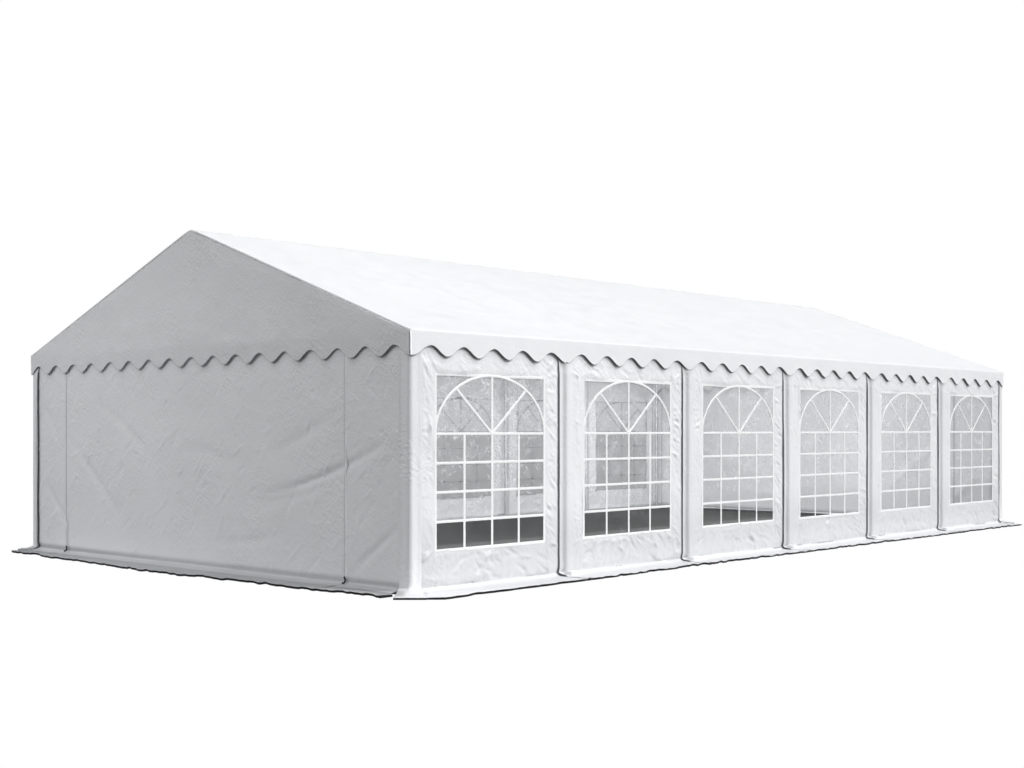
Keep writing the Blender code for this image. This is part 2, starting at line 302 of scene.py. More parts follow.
def flat_ribbon(solid, side, plane, path, width, lift, depth):
    """Crowned strip of PVC along a path of (along, up) points, on a side's plane."""
    path = np.array(path, float)
    run = np.vstack([path[1:], path[-1:]]) - np.vstack([path[:1], path[:-1]])
    run /= np.linalg.norm(run, axis=1)[:, None]
    across = np.stack([-run[:, 1], run[:, 0]], 1)
    section = ((-0.5, 0.0), (-0.42, 0.8), (0.0, 1.0), (0.42, 0.8), (0.5, 0.0))
    rings = []
    for point, normal in zip(path, across):
        ring = []
        for share, rise in section:
            along, up = point + normal * share * width
            ring.append(on_side(side, along, plane + lift + rise * depth, up))
        rings.append(ring)
    solid.add(rings)


def round_tube(solid, path, radius, sides=8):
    """Round bar along a path of points in the tent's frame."""
    path = [Vector(point) for point in path]
    rings = []
    for k, point in enumerate(path):
        run = (path[min(k + 1, len(path) - 1)] - path[max(k - 1, 0)]).normalized()
        first = run.cross(Vector((0.31, 0.17, 0.93))).normalized()
        second = run.cross(first)
        rings.append([
            point + radius * (math.cos(turn) * first + math.sin(turn) * second)
            for turn in (2 * math.pi * s / sides for s in range(sides))
        ])
    solid.add(rings)


# Materials

# Near-black colour that the painted shade darkens the cloth towards
PAINTED_SHADE_DARK = (0.012, 0.012, 0.014, 1.0)
FLOOR_BEHIND_FILM = 0.38       # how bright the floor looks through the film


class Tree:
    """Shader nodes of a material or of the world."""

    def __init__(self, owner):
        owner.use_nodes = True
        self.nodes, self.links = owner.node_tree.nodes, owner.node_tree.links

    def fill(self, node, values):
        """Gives a node's inputs, by name or number, a number, a colour or another node's output."""
        for name, value in values.items():
            if isinstance(value, bpy.types.NodeSocket):
                self.links.new(value, node.inputs[name])
            else:
                node.inputs[name].default_value = value
        return node

    def add(self, kind, values=(), **settings):
        """Node of a kind, with values for its inputs."""
        node = self.nodes.new("ShaderNode" + kind)
        for name, value in settings.items():
            setattr(node, name, value)
        return self.fill(node, dict(values))

    def end(self, shader):
        """Makes a shader the surface."""
        output = next(node for node in self.nodes if node.bl_idname.startswith("ShaderNodeOutput"))
        self.fill(output, {"Surface": shader})

    def place(self):
        """The object's own coordinates."""
        return self.add("TexCoord").outputs["Object"]

    def noise(self, scale, detail=3.0, distortion=0.0):
        values = {"Vector": self.place(), "Scale": scale, "Detail": detail, "Distortion": distortion}
        return self.add("TexNoise", values).outputs[0]

    def ramp(self, source, stops):
        """Colours through (place, colour) stops."""
        node = self.add("ValToRGB", {"Fac": source})
        elements = node.color_ramp.elements
        elements.remove(elements[1])
        for k, (place, colour) in enumerate(stops):
            element = elements[0] if k == 0 else elements.new(place)
            element.position = place
            element.color = (*colour, 1.0)
        return node.outputs["Color"]

    def span(self, source, low, high, to_low, to_high):
        """The range from low to high, spread over another one."""
        names = "Value", "From Min", "From Max", "To Min", "To Max"
        return self.add("MapRange", zip(names, (source, low, high, to_low, to_high))).outputs["Result"]

    def bump(self, height, strength, distance, before=None):
        node = self.add("Bump", {"Height": height, "Strength": strength, "Distance": distance})
        if before:
            self.fill(node, {"Normal": before})
        return node.outputs["Normal"]

    def math(self, operation, *values, **settings):
        """An operation on numbers and other nodes' outputs."""
        return self.add("Math", enumerate(values), operation=operation, **settings).outputs[0]

    def mix(self, share, first, second):
        """Two shaders mixed, by the second one's share."""
        return self.add("MixShader", {"Fac": share, 1: first, 2: second}).outputs["Shader"]

    def mark(self, name):
        """What the mesh's points hold as a mark."""
        return self.add("Attribute", attribute_name=name).outputs["Fac"]

    def shade(self, colour):
        """Darkens a colour by the mesh's mark shade, which is painted shade, as in the gaps behind loose
        edges.
        """
        values = {0: self.mark("shade"), 6: colour, 7: PAINTED_SHADE_DARK}
        return self.add("Mix", values, data_type="RGBA").outputs[2]

    def creases(self, turn, scale, stretch, reach, patches):
        """Thin straight creases that mostly run one way, in patches: the edges of stretched cells."""
        values = {"Vector": self.place(), "Rotation": turn, "Scale": (1.0, 1.0, stretch)}
        place = self.add("Mapping", values, vector_type="TEXTURE").outputs["Vector"]
        cells = self.add("TexVoronoi", {"Vector": place, "Scale": scale}, feature="DISTANCE_TO_EDGE")
        ridge = self.span(cells.outputs["Distance"], 0.0, reach, 1.0, 0.0)
        patch = self.span(self.noise(patches, 2.0), 0.45, 0.65, 0.0, 1.0)
        return self.math("MULTIPLY", ridge, patch)

    def weave(self):
        """Threads of the cloth under its coating, crossing at right angles."""
        values = {"Vector": self.place(), "Scale": 90.0, "Distortion": 0.4}
        threads = [self.add("TexWave", values, bands_direction=way).outputs["Fac"] for way in ("X", "Z")]
        return self.math("ADD", *threads)

    def end_by_look(self, lit, behind, open_view):
        """Surface for light, for the camera's view through film, and for its open view."""
        path = self.add("LightPath").outputs
        camera = path["Is Camera Ray"]
        nothing_before = self.math("LESS_THAN", path["Transparent Depth"], 0.5)
        first_look = self.math("MULTIPLY", camera, nothing_before)
        self.end(self.mix(first_look, self.mix(camera, lit, behind), open_view))


def new_material(name):
    material = bpy.data.materials.new(name)
    tree = Tree(material)
    return material, tree, tree.nodes["Principled BSDF"]


def turned(axis, angles):
    """Rotations about one axis, by angles in degrees."""
    return [tuple(math.radians(angle) if k == axis else 0.0 for k in range(3)) for angle in angles]


def cloth_material(name, pale, dull, crumple, through, turns=()):
    """Coated cloth: faint mottling, a weave, fine crumples, light that shines through it, and painted shade
    from the mesh's mark.
    """
    material, tree, shader = new_material(name)
    mottle = tree.ramp(tree.noise(1.6, 5.0, 0.3), ((0.35, dull), (0.62, pale)))
    gloss = tree.span(tree.noise(7.0, 4.0), 0.3, 0.7, 0.36, 0.52)
    normal = tree.bump(tree.noise(22.0, 4.0, 1.2), crumple, 0.006)
    for turn in turns:
        normal = tree.bump(tree.creases(turn, 6.0, 0.28, 0.17, 2.3), 0.55, 0.004, normal)
    normal = tree.bump(tree.weave(), 0.15, 0.0003, normal)
    tree.fill(shader, {"Base Color": tree.shade(mottle), "Roughness": gloss, "Normal": normal})
    glow = tree.add("BsdfTranslucent", {"Color": tree.shade((0.90, 0.92, 0.95, 1.0))})
    tree.end(tree.mix(through, shader.outputs["BSDF"], glow.outputs["BSDF"]))
    return material


def film_material():
    """Clear PVC film: a grey haze, whiter along the creases, and a gloss. The whiter creases are partly the
    film's stress whitening, partly painted highlights.
    """
    material, tree, shader = new_material("clear_film")
    ripple = tree.bump(tree.noise(9.0, 3.0, 0.8), 0.25, 0.004)
    tree.fill(shader, {"Base Color": (0.86, 0.87, 0.89, 1.0), "Roughness": 0.22, "Normal": ripple})
    clear = tree.add("BsdfTransparent", {"Color": (0.87, 0.875, 0.88, 1.0)})
    # Whiter strokes along the creases: stress whitening, and painted highlights where the creases would
    # catch the light
    strokes = [tree.creases(turn, 13.0, 0.25, 0.16, 8.0) for turn in turned(1, (38, -44))]
    paler = tree.math("ADD", tree.math("MAXIMUM", *strokes), 0.5)
    marks = tree.math("MULTIPLY", tree.mark("crease"), paler)
    veil = tree.span(tree.noise(5.0, 4.0), 0.3, 0.7, 0.03, 0.06)
    haze = tree.math("MULTIPLY_ADD", marks, 0.58, veil, use_clamp=True)
    tree.end(tree.mix(haze, clear.outputs["BSDF"], shader.outputs["BSDF"]))
    return material


def steel_material():
    """Galvanised tube: spangled zinc, duller in patches."""
    material, tree, shader = new_material("galvanised_steel")
    spangle = tree.add("TexVoronoi", {"Vector": tree.place(), "Scale": 90.0})
    tone = tree.add("RGBToBW", {"Color": spangle.outputs["Color"]})
    colour = tree.ramp(tone.outputs["Val"], ((0.1, (0.50, 0.51, 0.52)), (0.9, (0.68, 0.69, 0.70))))
    patch = tree.noise(12.0, 4.0)
    tree.fill(shader, {
        "Base Color": colour, "Metallic": 1.0, "Roughness": tree.span(patch, 0.3, 0.7, 0.34, 0.55),
        "Normal": tree.bump(patch, 0.1, 0.001),
    })
    return material


def speckled_material(name, noise, dark, pale, roughness, bump=0.0):
    """Plain surface with faint specks. Dark and pale are each a place on the noise and a colour."""
    material, tree, shader = new_material(name)
    speck = tree.noise(*noise)
    tree.fill(shader, {"Base Color": tree.ramp(speck, (dark, pale)), "Roughness": roughness})
    if bump:
        tree.fill(shader, {"Normal": tree.bump(speck, bump, 0.001)})
    return material


def trim_material():
    """Bright white PVC of the bars, borders and piping."""
    dark, pale = (0.35, (0.975, 0.978, 0.98)), (0.65, (0.99, 0.99, 0.99))
    return speckled_material("white_trim", (30.0,), dark, pale, 0.3, 0.1)


def bar_back_shade_material():
    """Back of the bars and borders, where the film is welded to them: the same white PVC, painted grey for
    the shade it lies in, seen from inside.
    """
    dark, pale = (0.35, (0.42, 0.42, 0.43)), (0.65, (0.47, 0.47, 0.48))
    return speckled_material("bar_back_shade", (30.0,), dark, pale, 0.5, 0.1)


def dark_material():
    """Black plastic of the zip pulls."""
    dark, pale = (0.3, (0.012, 0.012, 0.012)), (0.7, (0.03, 0.03, 0.03))
    return speckled_material("black_plastic", (60.0,), dark, pale, 0.45, 0.2)


def inner_floor_material():
    """Nearly black ground inside the tent: partly the ground's own colour, partly painted shade under the
    cover.
    """
    dark, pale = (0.3, (0.026, 0.026, 0.025)), (0.7, (0.036, 0.036, 0.035))
    return speckled_material("inner_floor", (1.5, 5.0), dark, pale, 0.95)


def floor_material():
    """Pale floor that looks white from outside, and dull through the film and to other light."""
    dark, pale = (0.3, (0.19, 0.19, 0.19)), (0.7, (0.23, 0.23, 0.23))
    material = speckled_material("pale_floor", (0.6,), dark, pale, 0.9)
    tree = Tree(material)
    glows = [tree.add("Emission", {"Strength": strength}) for strength in (FLOOR_BEHIND_FILM, 1.0)]
    lit = tree.nodes["Principled BSDF"].outputs["BSDF"]
    tree.end_by_look(lit, *(glow.outputs["Emission"] for glow in glows))
    return material


# Walls that hang and turn out along the ground

# Out from the wall's plane, and up: straight, then a hollow over the ground bar, then the flap
WALL_LINE = (
    (0.0, WALL_TOP), (0.0, 0.100), (-0.003, 0.082), (-0.012, 0.060), (-0.013, 0.050), (-0.008, 0.043),
    (0.006, 0.035), (0.020, 0.028), (0.05, 0.024), (0.12, 0.021), (FLAP, 0.019), (FLAP + 0.17, 0.019),
)
LINE_STEP = 0.002
FOOT_DIP = 0.016               # how much lower the long walls meet their flaps
HEM_TURN = 0.0015              # how far below the cloth a hem's fold lies
HEM_DEPTH = 0.021


def smooth_line():
    """Distance down the wall's cloth, its place out and up, and its outward normal."""
    corners = np.array(WALL_LINE)
    lengths = np.concatenate([[0], np.cumsum(np.linalg.norm(np.diff(corners, axis=0), axis=1))])
    down = np.arange(0, lengths[-1], LINE_STEP)
    window, pad = np.ones(3) / 3, 8
    rounded = []
    for column in range(2):
        values = np.interp(down, lengths, corners[:, column])
        padded = np.concatenate([2 * values[0] - values[pad:0:-1], values, np.full(pad, values[-1])])
        padded = np.convolve(np.convolve(padded, window, "same"), window, "same")
        rounded.append(padded[pad:-pad])
    out, up = rounded
    run_out, run_up = np.gradient(out, LINE_STEP), np.gradient(up, LINE_STEP)
    return down, out, up, -run_up, run_out


LINE = smooth_line()
FLAT_STEPS = 200               # at the line's end, where the flap lies flat
FLAP_START = LINE[0][-FLAT_STEPS] - 0.008
CLOTH_LENGTH = np.interp(FLAP + 0.008, LINE[1][-FLAT_STEPS:], LINE[0][-FLAT_STEPS:])


def flap_edge(side, a, seed):
    """How far the flap's edge reaches beyond the frame's, and how far it lifts off the ground."""
    if side in LONG_SIDES:
        edge = 0.018 + 0.037 * (1 - smoothstep(a, -4.4, -2.6)) + 0.030 * (1 - smoothstep(a, -5.8, -5.4))
    else:
        edge = 0.050 * smoothstep(EAVE_OUT - np.abs(a), 0.25, 1.0) + 0.105 * np.exp(-(a / 1.1) ** 2)
    edge = edge + 0.009 * line_noise(a / 0.21, seed) + 0.006 * line_noise(a / 0.07, seed + 1)
    lift = 0.003 + 0.009 * line_noise(a / 0.10, seed + 2) + 0.005 * line_noise(a / 0.05, seed + 3)
    if side == "front":
        edge = edge - 0.030 * np.exp(-((a + 5.60) / 0.12) ** 2)
        lift = lift * (0.3 + 0.7 * smoothstep(a, -4.6, -3.4))
    elif side not in LONG_SIDES:
        lift = lift + 0.006
    return edge[None, :], lift[None, :]


def flap_flare(a, t):
    """How far the front flap spreads towards the near corner, its own corner cut off at a slant."""
    down = (t - FLAP_START) / (CLOTH_LENGTH - FLAP_START)
    spread = np.interp(down, (0.0, 0.2, 0.4, 0.6, 1.0), (0.0, 0.03, 0.12, 0.16, 0.03))
    return spread[:, None] * (1 - smoothstep(a + VERGE_OUT, 0.0, 0.5))[None, :]


def hang_cloth(side, plane, a, t, relief, seed):
    """Points of a wall's cloth, with its relief pressed out and the flap's edge wavy.

    The two last rows are the hem, turned down and under; add_wall paints them fully dark, a painted shadow
    under the flap's edge."""
    down, line_out, line_up, normal_out, normal_up = LINE
    on_flap = smoothstep(t, FLAP_START, CLOTH_LENGTH)[:, None]
    edge, lift = flap_edge(side, a, seed)
    place = t[:, None] + on_flap * edge
    rise = relief + on_flap ** 3 * lift
    out = np.interp(place, down, line_out) + np.interp(place, down, normal_out) * rise
    up = np.interp(place, down, line_up) + np.interp(place, down, normal_up) * rise
    if side in LONG_SIDES:
        up = up - FOOT_DIP * (1 - on_flap) * np.exp(-((up - 0.036) / 0.03) ** 2)
    slant, corner = (-0.06, VERGE_OUT) if side in LONG_SIDES else (0.06, EAVE_OUT)
    drift = slant * smoothstep(corner - np.abs(a), 0.0, 0.6)[None, :]
    along = a[None, :] + drift * smoothstep(t, FLAP_START - 0.02, CLOTH_LENGTH)[:, None]
    if side == "front":
        along = along - flap_flare(a, t)
    up = np.maximum(up, 0.007)
    along = np.vstack([along, along[-1:], along[-1:]])
    out = np.vstack([out, out[-1:] - 0.001, out[-1:] - 0.005])
    up = np.vstack([up, up[-1:] - HEM_TURN, np.maximum(up[-1:] - HEM_DEPTH, 0.0)])
    return on_side(side, along, plane + out, up)


def hem_rows(shade):
    """Adds the hem's two rows to the shade over a sheet, painted fully dark for the shadow under the flap's
    edge.
    """
    return np.vstack([shade, np.ones((2, shade.shape[1]))])


def side_hem(points, shade, keep, corner):
    """Adds a turned-down hem at the flap's end beside a corner: points, shade and cells. The hem is painted
    fully dark, a painted shadow beside the flap's end.
    """
    end = 0 if corner == "left" else -1
    fold, foot = points[:, [end]].copy(), points[:, [end]].copy()
    fold[..., 2] = np.maximum(fold[..., 2] - HEM_TURN, 0.0)
    foot[..., 2] = 0.0
    low = points[:, end, 2] < 0.06
    cells = keep[:, [end]] & (low[:-1] & low[1:])[:, None]
    # Painted shadow: the hem's fold and foot are fully dark
    dark = np.ones((len(points), 2))
    if corner == "left":
        parts = [(foot, fold, points), (dark, shade), (cells, cells, keep)]
    else:
        parts = [(points, fold, foot), (shade, dark), (keep, cells, cells)]
    return [np.hstack(part) for part in parts]


def add_wall(name, points, cloth, keep, shade, corner):
    """Sheet of a wall with its hem, painted dark as a painted shadow under the flap's edge. Corner says
    which end of it, if any, meets a corner of the tent.
    """
    keep = np.vstack([keep, keep[-1:], keep[-1:]])
    shade = hem_rows(shade)
    if corner:
        points, shade, keep = side_hem(points, shade, keep, corner)
    return add_sheet(name, points, cloth, keep, shade=shade)


def mitre(a, t, corner, corner_place, lean):
    """Cells of a wall next to a corner: the flap's end leans towards the corner, or away from it."""
    middle_a, middle_t = (a[:-1] + a[1:]) / 2, (t[:-1] + t[1:]) / 2
    reach = np.maximum(middle_t - FLAP_START, 0)[:, None]
    inward = (middle_a + corner_place if corner == "left" else corner_place - middle_a)[None, :]
    return inward > 0.10 - lean * reach


def wall_share(t):
    """1 on the wall and over the ground bar, 0 where the flap lies flat."""
    return 1 - smoothstep(t, FLAP_START - 0.02, FLAP_START + 0.012)[:, None]


def wall_rows(head, step, fine):
    """Distances down a wall's cloth, close together where the valance's waves end."""
    close = 0.005 if fine else 0.010
    return np.concatenate([
        steps(0.0, 0.09, step=0.03)[:-1], steps(0.09, 0.25, step=close)[:-1],
        steps(0.25, *head, FLAP_START - 0.09, step=step)[:-1],
        steps(FLAP_START - 0.09, FLAP_START + 0.02, step=0.6 * step)[:-1],
        steps(FLAP_START + 0.02, CLOTH_LENGTH - 0.03, step=1.6 * step)[:-1],
        steps(CLOTH_LENGTH - 0.03, CLOTH_LENGTH, step=0.01),
    ])


def crumple(a, t, seed, strength=1.0):
    """Fine crumples and broad waves of slack PVC cloth."""
    grid_a, grid_t = a[None, :], t[:, None]
    field = 0.0035 * soft_noise(grid_a / 0.62, grid_t / 0.55, seed)
    field = field + 0.0022 * soft_noise(grid_a / 0.23 + 0.4 * grid_t, grid_t / 0.21, seed + 5)
    field = field + 0.0010 * sharp_noise((grid_a + grid_t) / 0.11, (grid_a - grid_t) / 0.17, seed + 9)
    field = field + 0.0007 * sharp_noise(grid_a / 0.055, grid_t / 0.07 + grid_a, seed + 13)
    return strength * field


def settle(relief, t, share):
    """Keeps the flap on its line, and calms the cloth and sets it back where the valance covers it."""
    relief = np.where(wall_share(t) < 0.5, np.maximum(relief, -0.001), relief)
    covered = smoothstep(WALL_TOP - t, *VALANCE_COVERS)[:, None]
    return relief * (1 - share * covered) - 0.0015 * covered


# Shades painted on the cloth, from 0 to 1

def both_shades(first, second):
    return 1 - (1 - first) * (1 - second)


def wave_shade(a, t, reach, waves, deep, lean, fall):
    """Dark gap behind the waves of the valance, and its soft shade on the wall below.

    Lean is how far to the left the shade falls of what casts it, and fall is how far down."""
    def edge(shift):
        return EAVE - wave_drop(np.clip((a + shift + reach) / (2 * reach), 0, 1), waves)[None, :]

    up = (WALL_TOP - t)[:, None]
    below = np.minimum(edge(0.0), edge(lean)) - up
    core = deep * (1 - smoothstep(below, 0.0, 0.0035))
    away = np.clip(edge(lean) - up, 0, None)
    facing = smoothstep(edge(0.0) - edge(3 * lean), -0.02, 0.02)
    soft = 0.72 * deep * (0.25 + 0.75 * facing) * np.exp(-(away / fall) ** 1.5)
    return np.maximum(core, soft) * smoothstep(below, -0.07, -0.045)


def edge_shade(a, place, towards, deep, soft, width=0.004):
    """Dark gap under a loose edge at a place. Towards is 1 where the gap is on its right, or else -1."""
    past = (a - place) * towards
    core = deep * (1 - smoothstep(past, 0.0, width))
    return np.maximum(core, soft * np.exp(-np.clip(past, 0, None) / (3 * width)))[None, :]


def gable_painted_shade(a):
    """Painted shade: the gable walls grow greyer to the right."""
    return 0.24 * smoothstep(a, -2.7, 2.9)[None, :]


def low_painted_shade(t):
    """Painted shade: the front wall is a little greyer below its windows."""
    up = WALL_TOP - t
    return 0.18 * (smoothstep(up, 0.036, 0.052) * (1 - smoothstep(up, 0.2, 0.8)))[:, None]


def high_painted_shade(t):
    """Painted shade: the back wall is greyer above its windows, as seen through the front ones, as if in
    the shade of the valance and roof.
    """
    return 0.24 * smoothstep(WALL_TOP - t, 1.74, 1.90)[:, None]


def flap_painted_shade(t, deep):
    """Painted shade: a gable's flap is greyer than its wall, but for its outer edge, which is left lighter
    as a painted highlight.
    """
    inner = smoothstep(t, FLAP_START + 0.012, FLAP_START + 0.03)
    inner = inner * (1.35 - 0.35 * smoothstep(t, FLAP_START + 0.03, FLAP_START + 0.16))
    return deep * (inner * (1 - smoothstep(t, CLOTH_LENGTH - 0.020, CLOTH_LENGTH - 0.008)))[:, None]


def bar_shade(a, t, seed, deep, patchy):
    """Shade in the hollow of the cloth over the ground bar."""
    up = np.interp(t, LINE[0], LINE[2])[:, None]
    if not patchy:
        return deep * smoothstep(up, 0.110, 0.055) * smoothstep(up, 0.038, 0.046)
    share = smoothstep(line_noise(a / 0.4, seed), 0.0, 0.5)
    share = np.maximum(share, np.exp(-((a + 5.3) / 0.22) ** 2))
    return deep * np.exp(-((up - 0.054) / 0.011) ** 2) * share[None, :]


# Long walls, a sheet a bay

HEAD_DOWN, SILL_DOWN = WALL_TOP - WINDOW_TOP, WALL_TOP - WINDOW_SILL
LONG_COVER = GABLE_PLANE + COVER_OFF - CORNER_LEG    # where a corner cover ends on a long wall
LONG_LEAN = {"left": 0.77, "right": -0.45}           # of a flap's end towards the corner, a metre out

# The strip that overlaps the sheet on its left: its height by the distance from the post
STRIP_PLACES = (-0.12, -0.095, -0.078, -0.066, -0.053, -0.024, -0.012, 0.020, 0.100, 0.180, 0.250)
STRIP_HEIGHTS = (0.022, 0.014, 0.0095, 0.009, 0.013, 0.031, 0.033, 0.031, 0.021, 0.009, 0.0)


def strip_painted_shade(offset):
    """Painted shade: a grey line along the step of the overlapping strip."""
    return 0.18 * np.exp(-((offset + 0.040) / 0.018) ** 2)[None, :]


def bay_span(number):
    """Where the sheet of a bay starts, and where it ends under the next one."""
    start = -VERGE_OUT + LOOSE_EDGE if number == 0 else SEAMS[number - 1]
    end = VERGE_OUT - LOOSE_EDGE if number == BAYS - 1 else SEAMS[number] + 0.045
    return start, end


def post_place(number):
    """The post at the left of a bay."""
    return -HALF_LENGTH + number * BAY


def window_centre(number):
    return -HALF_LENGTH + (number + 0.5) * BAY + WINDOW_SHIFT


def window_ends(number):
    return window_centre(number) - WINDOW_HALF, window_centre(number) + WINDOW_HALF


def window_relief(a, t, number, seed, fine):
    """Relief of the cloth round a window: drag lines at its corners, puckers beside the seams."""
    cloth = Creases(a, t, seed, crumple(a, t, seed), 1.0 if fine else 0.5)
    centre, (left, right) = window_centre(number), window_ends(number)
    head, sill = HEAD_DOWN, SILL_DOWN
    slim, wide = ((0.006, 0.014), (0.012, 0.022)) if fine else ((0.014, 0.024), (0.018, 0.030))
    low_deep = (0.0024, 0.0062) if number < 2 else (0.0014, 0.0038)
    for origin, angles in (
        ((left, head), (185, 262)), ((right, head), (278, 355)),
        ((left, sill), (98, 175)), ((right, sill), (5, 82)),
    ):
        cloth.press_fan(origin, 14, angles, (0.02, 0.12), (0.08, 0.26), slim, (0.0010, 0.0026))
    cloth.press_many(46, (left - 0.24, left), (head, sill), 68, 22, (0.07, 0.20), slim, (0.0008, 0.0026))
    cloth.press_many(60, (right + 0.02, right + 0.22), (head, sill), 40, 12, (0.09, 0.20), slim,
                     (0.0014, 0.0036))
    pinches = {1: (right + 0.11, 16), 2: (left - 0.12, -24)}
    if number in pinches:
        place_a, turn = pinches[number]
        for k in range(4):
            place = place_a, WALL_TOP - 1.42 + 0.034 * (k - 1.5)
            cloth.press(place, math.radians(turn + 4 * k), 0.15, 0.011, 0.0032 * (-1) ** k)
    if number == 0:
        cloth.press_fan((left - 0.20, 0.12), 8, (52, 86), (0.0, 0.08), (0.20, 0.50), slim, (0.0020, 0.0045))
    cloth.press_many(14 if number == 0 else 4, (left - 0.22, left - 0.02), (0.15, 1.0), 80, 5,
                     (0.25, 0.6), wide, (0.0015, 0.0035))
    cloth.press_many(26, (left - 0.2, centre), (sill + 0.02, sill + 0.28), -35, 16, (0.10, 0.34), wide,
                     low_deep)
    cloth.press_many(24, (centre - 0.2, right + 0.2), (sill + 0.02, sill + 0.28), 28, 18, (0.10, 0.32),
                     wide, low_deep)
    cloth.press_many(30, (left - 0.2, right + 0.2), (sill + 0.02, sill + 0.30), 0, 60, (0.05, 0.14), slim,
                     (0.0008, 0.0022))
    cloth.press_many(22, (left - 0.1, right + 0.1), (0.12, head), 32, 16, (0.12, 0.32), wide,
                     (0.0010, 0.0026))
    for side_a, angles in ((left - 0.27, (-38, 38)), (right + 0.17, (142, 218))):
        for _ in range(3):
            place = side_a, cloth.rng.uniform(head + 0.1, sill + 0.2)
            cloth.press_fan(place, 5, angles, (0.03, 0.09), (0.07, 0.17), slim, (0.0010, 0.0024))
    beside = np.maximum(np.abs(a - centre) - WINDOW_HALF, 0)[None, :]
    above = np.maximum(np.maximum(head - t, t - sill), 0)[:, None]
    return 2.4 * cloth.relief * (0.1 + 0.9 * smoothstep(np.hypot(beside, above), 0.0, 0.05))


def bay_relief(a, t, number, seed, fine):
    """Relief of a bay's sheet, raised over its post and calm along its edges."""
    offset, start = a - post_place(number), bay_span(number)[0]
    on_wall = wall_share(t)
    relief = window_relief(a, t, number, seed, fine)
    relief = relief * (0.25 + 0.75 * (1 - smoothstep(t, FLAP_START - 0.10, FLAP_START - 0.02)[:, None]))
    if number > 0:
        wobble = 0.004 * line_noise(t / 0.5, seed + 21)[:, None]
        relief = relief * (0.2 + 0.8 * smoothstep(offset, 0.05, 0.16)[None, :])
        relief = relief + on_wall * np.interp(offset, STRIP_PLACES, STRIP_HEIGHTS)[None, :]
        relief = relief + on_wall * wobble * (1 - smoothstep(offset, -0.1, 0.0)[None, :])
        relief = relief + (1 - on_wall) * 0.006 * (1 - smoothstep(a - start, 0.0, 0.07)[None, :])
    if number < BAYS - 1:
        calm = smoothstep(SEAMS[number] - a, -0.02, 0.06)[None, :]
        relief = relief * calm - 0.002 * (1 - calm)
    else:
        relief = relief * (0.2 + 0.8 * smoothstep(VERGE_OUT - CORNER_LEG - a, -0.02, 0.06)[None, :])
    if number == 0:
        relief = relief * (0.2 + 0.8 * smoothstep(a + VERGE_OUT - CORNER_LEG, -0.02, 0.04)[None, :])
    return settle(relief, t, 0.55)


def bay_shade(a, t, number, seed, fine):
    """Shade of a bay's sheet: under the valance, over the ground bar and at its edges."""
    on_wall = wall_share(t)
    shade = wave_shade(a, t, SIDE_REACH, SIDE_WAVES, 0.82 if fine else 0.0, 0.0125, 0.040)
    shade = both_shades(shade, bar_shade(a, t, seed + 51, 0.32, True))
    shade = both_shades(shade, low_painted_shade(t) if fine else high_painted_shade(t))
    if number == 0:
        shade = np.maximum(shade, on_wall * edge_shade(a, -LONG_COVER, 1, 0.4, 0.08))
    elif fine:
        shade = both_shades(shade, on_wall * strip_painted_shade(a - post_place(number)))
    if number == BAYS - 1:
        return np.maximum(shade, on_wall * edge_shade(a, LONG_COVER, -1, 0.4, 0.08))
    seam_shade = edge_shade(a, SEAMS[number], -1, 0.72 if fine else 0.3, 0.12)
    return np.maximum(shade, (0.08 + 0.92 * on_wall) * seam_shade)


def window_cloth(side, number, cloth):
    """Cloth of one bay, from the strip over its left post to under the next one."""
    fine = side == "front"
    step = FRONT_STEP if fine else BACK_STEP
    start, end = bay_span(number)
    left, right = window_ends(number)
    edges = [-LONG_COVER] if number == 0 else []
    edges += [SEAMS[number]] if number < BAYS - 1 else [LONG_COVER]
    a = with_lines(steps(start, left, right, end, step=step), *edges)
    t = wall_rows((HEAD_DOWN, SILL_DOWN), step, fine)
    seed = 100 + 17 * number + (0 if fine else 7)
    keep = ~(
        ((t[:-1] >= HEAD_DOWN - 1e-6) & (t[1:] <= SILL_DOWN + 1e-6))[:, None]
        & ((a[:-1] >= left - 1e-6) & (a[1:] <= right + 1e-6))[None, :]
    )
    corner = {0: "left", BAYS - 1: "right"}.get(number)
    if corner:
        keep &= mitre(a, t, corner, VERGE_OUT, LONG_LEAN[corner])
    points = hang_cloth(side, SIDE_PLANE, a, t, bay_relief(a, t, number, seed, fine), seed + 31)
    shade = bay_shade(a, t, number, seed, fine)
    piece = add_wall(f"wall_cloth_{side}_{number + 1}", points, cloth, keep, shade, corner)
    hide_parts(f"window_panel_{side}_{number + 1}")
    finish(piece)


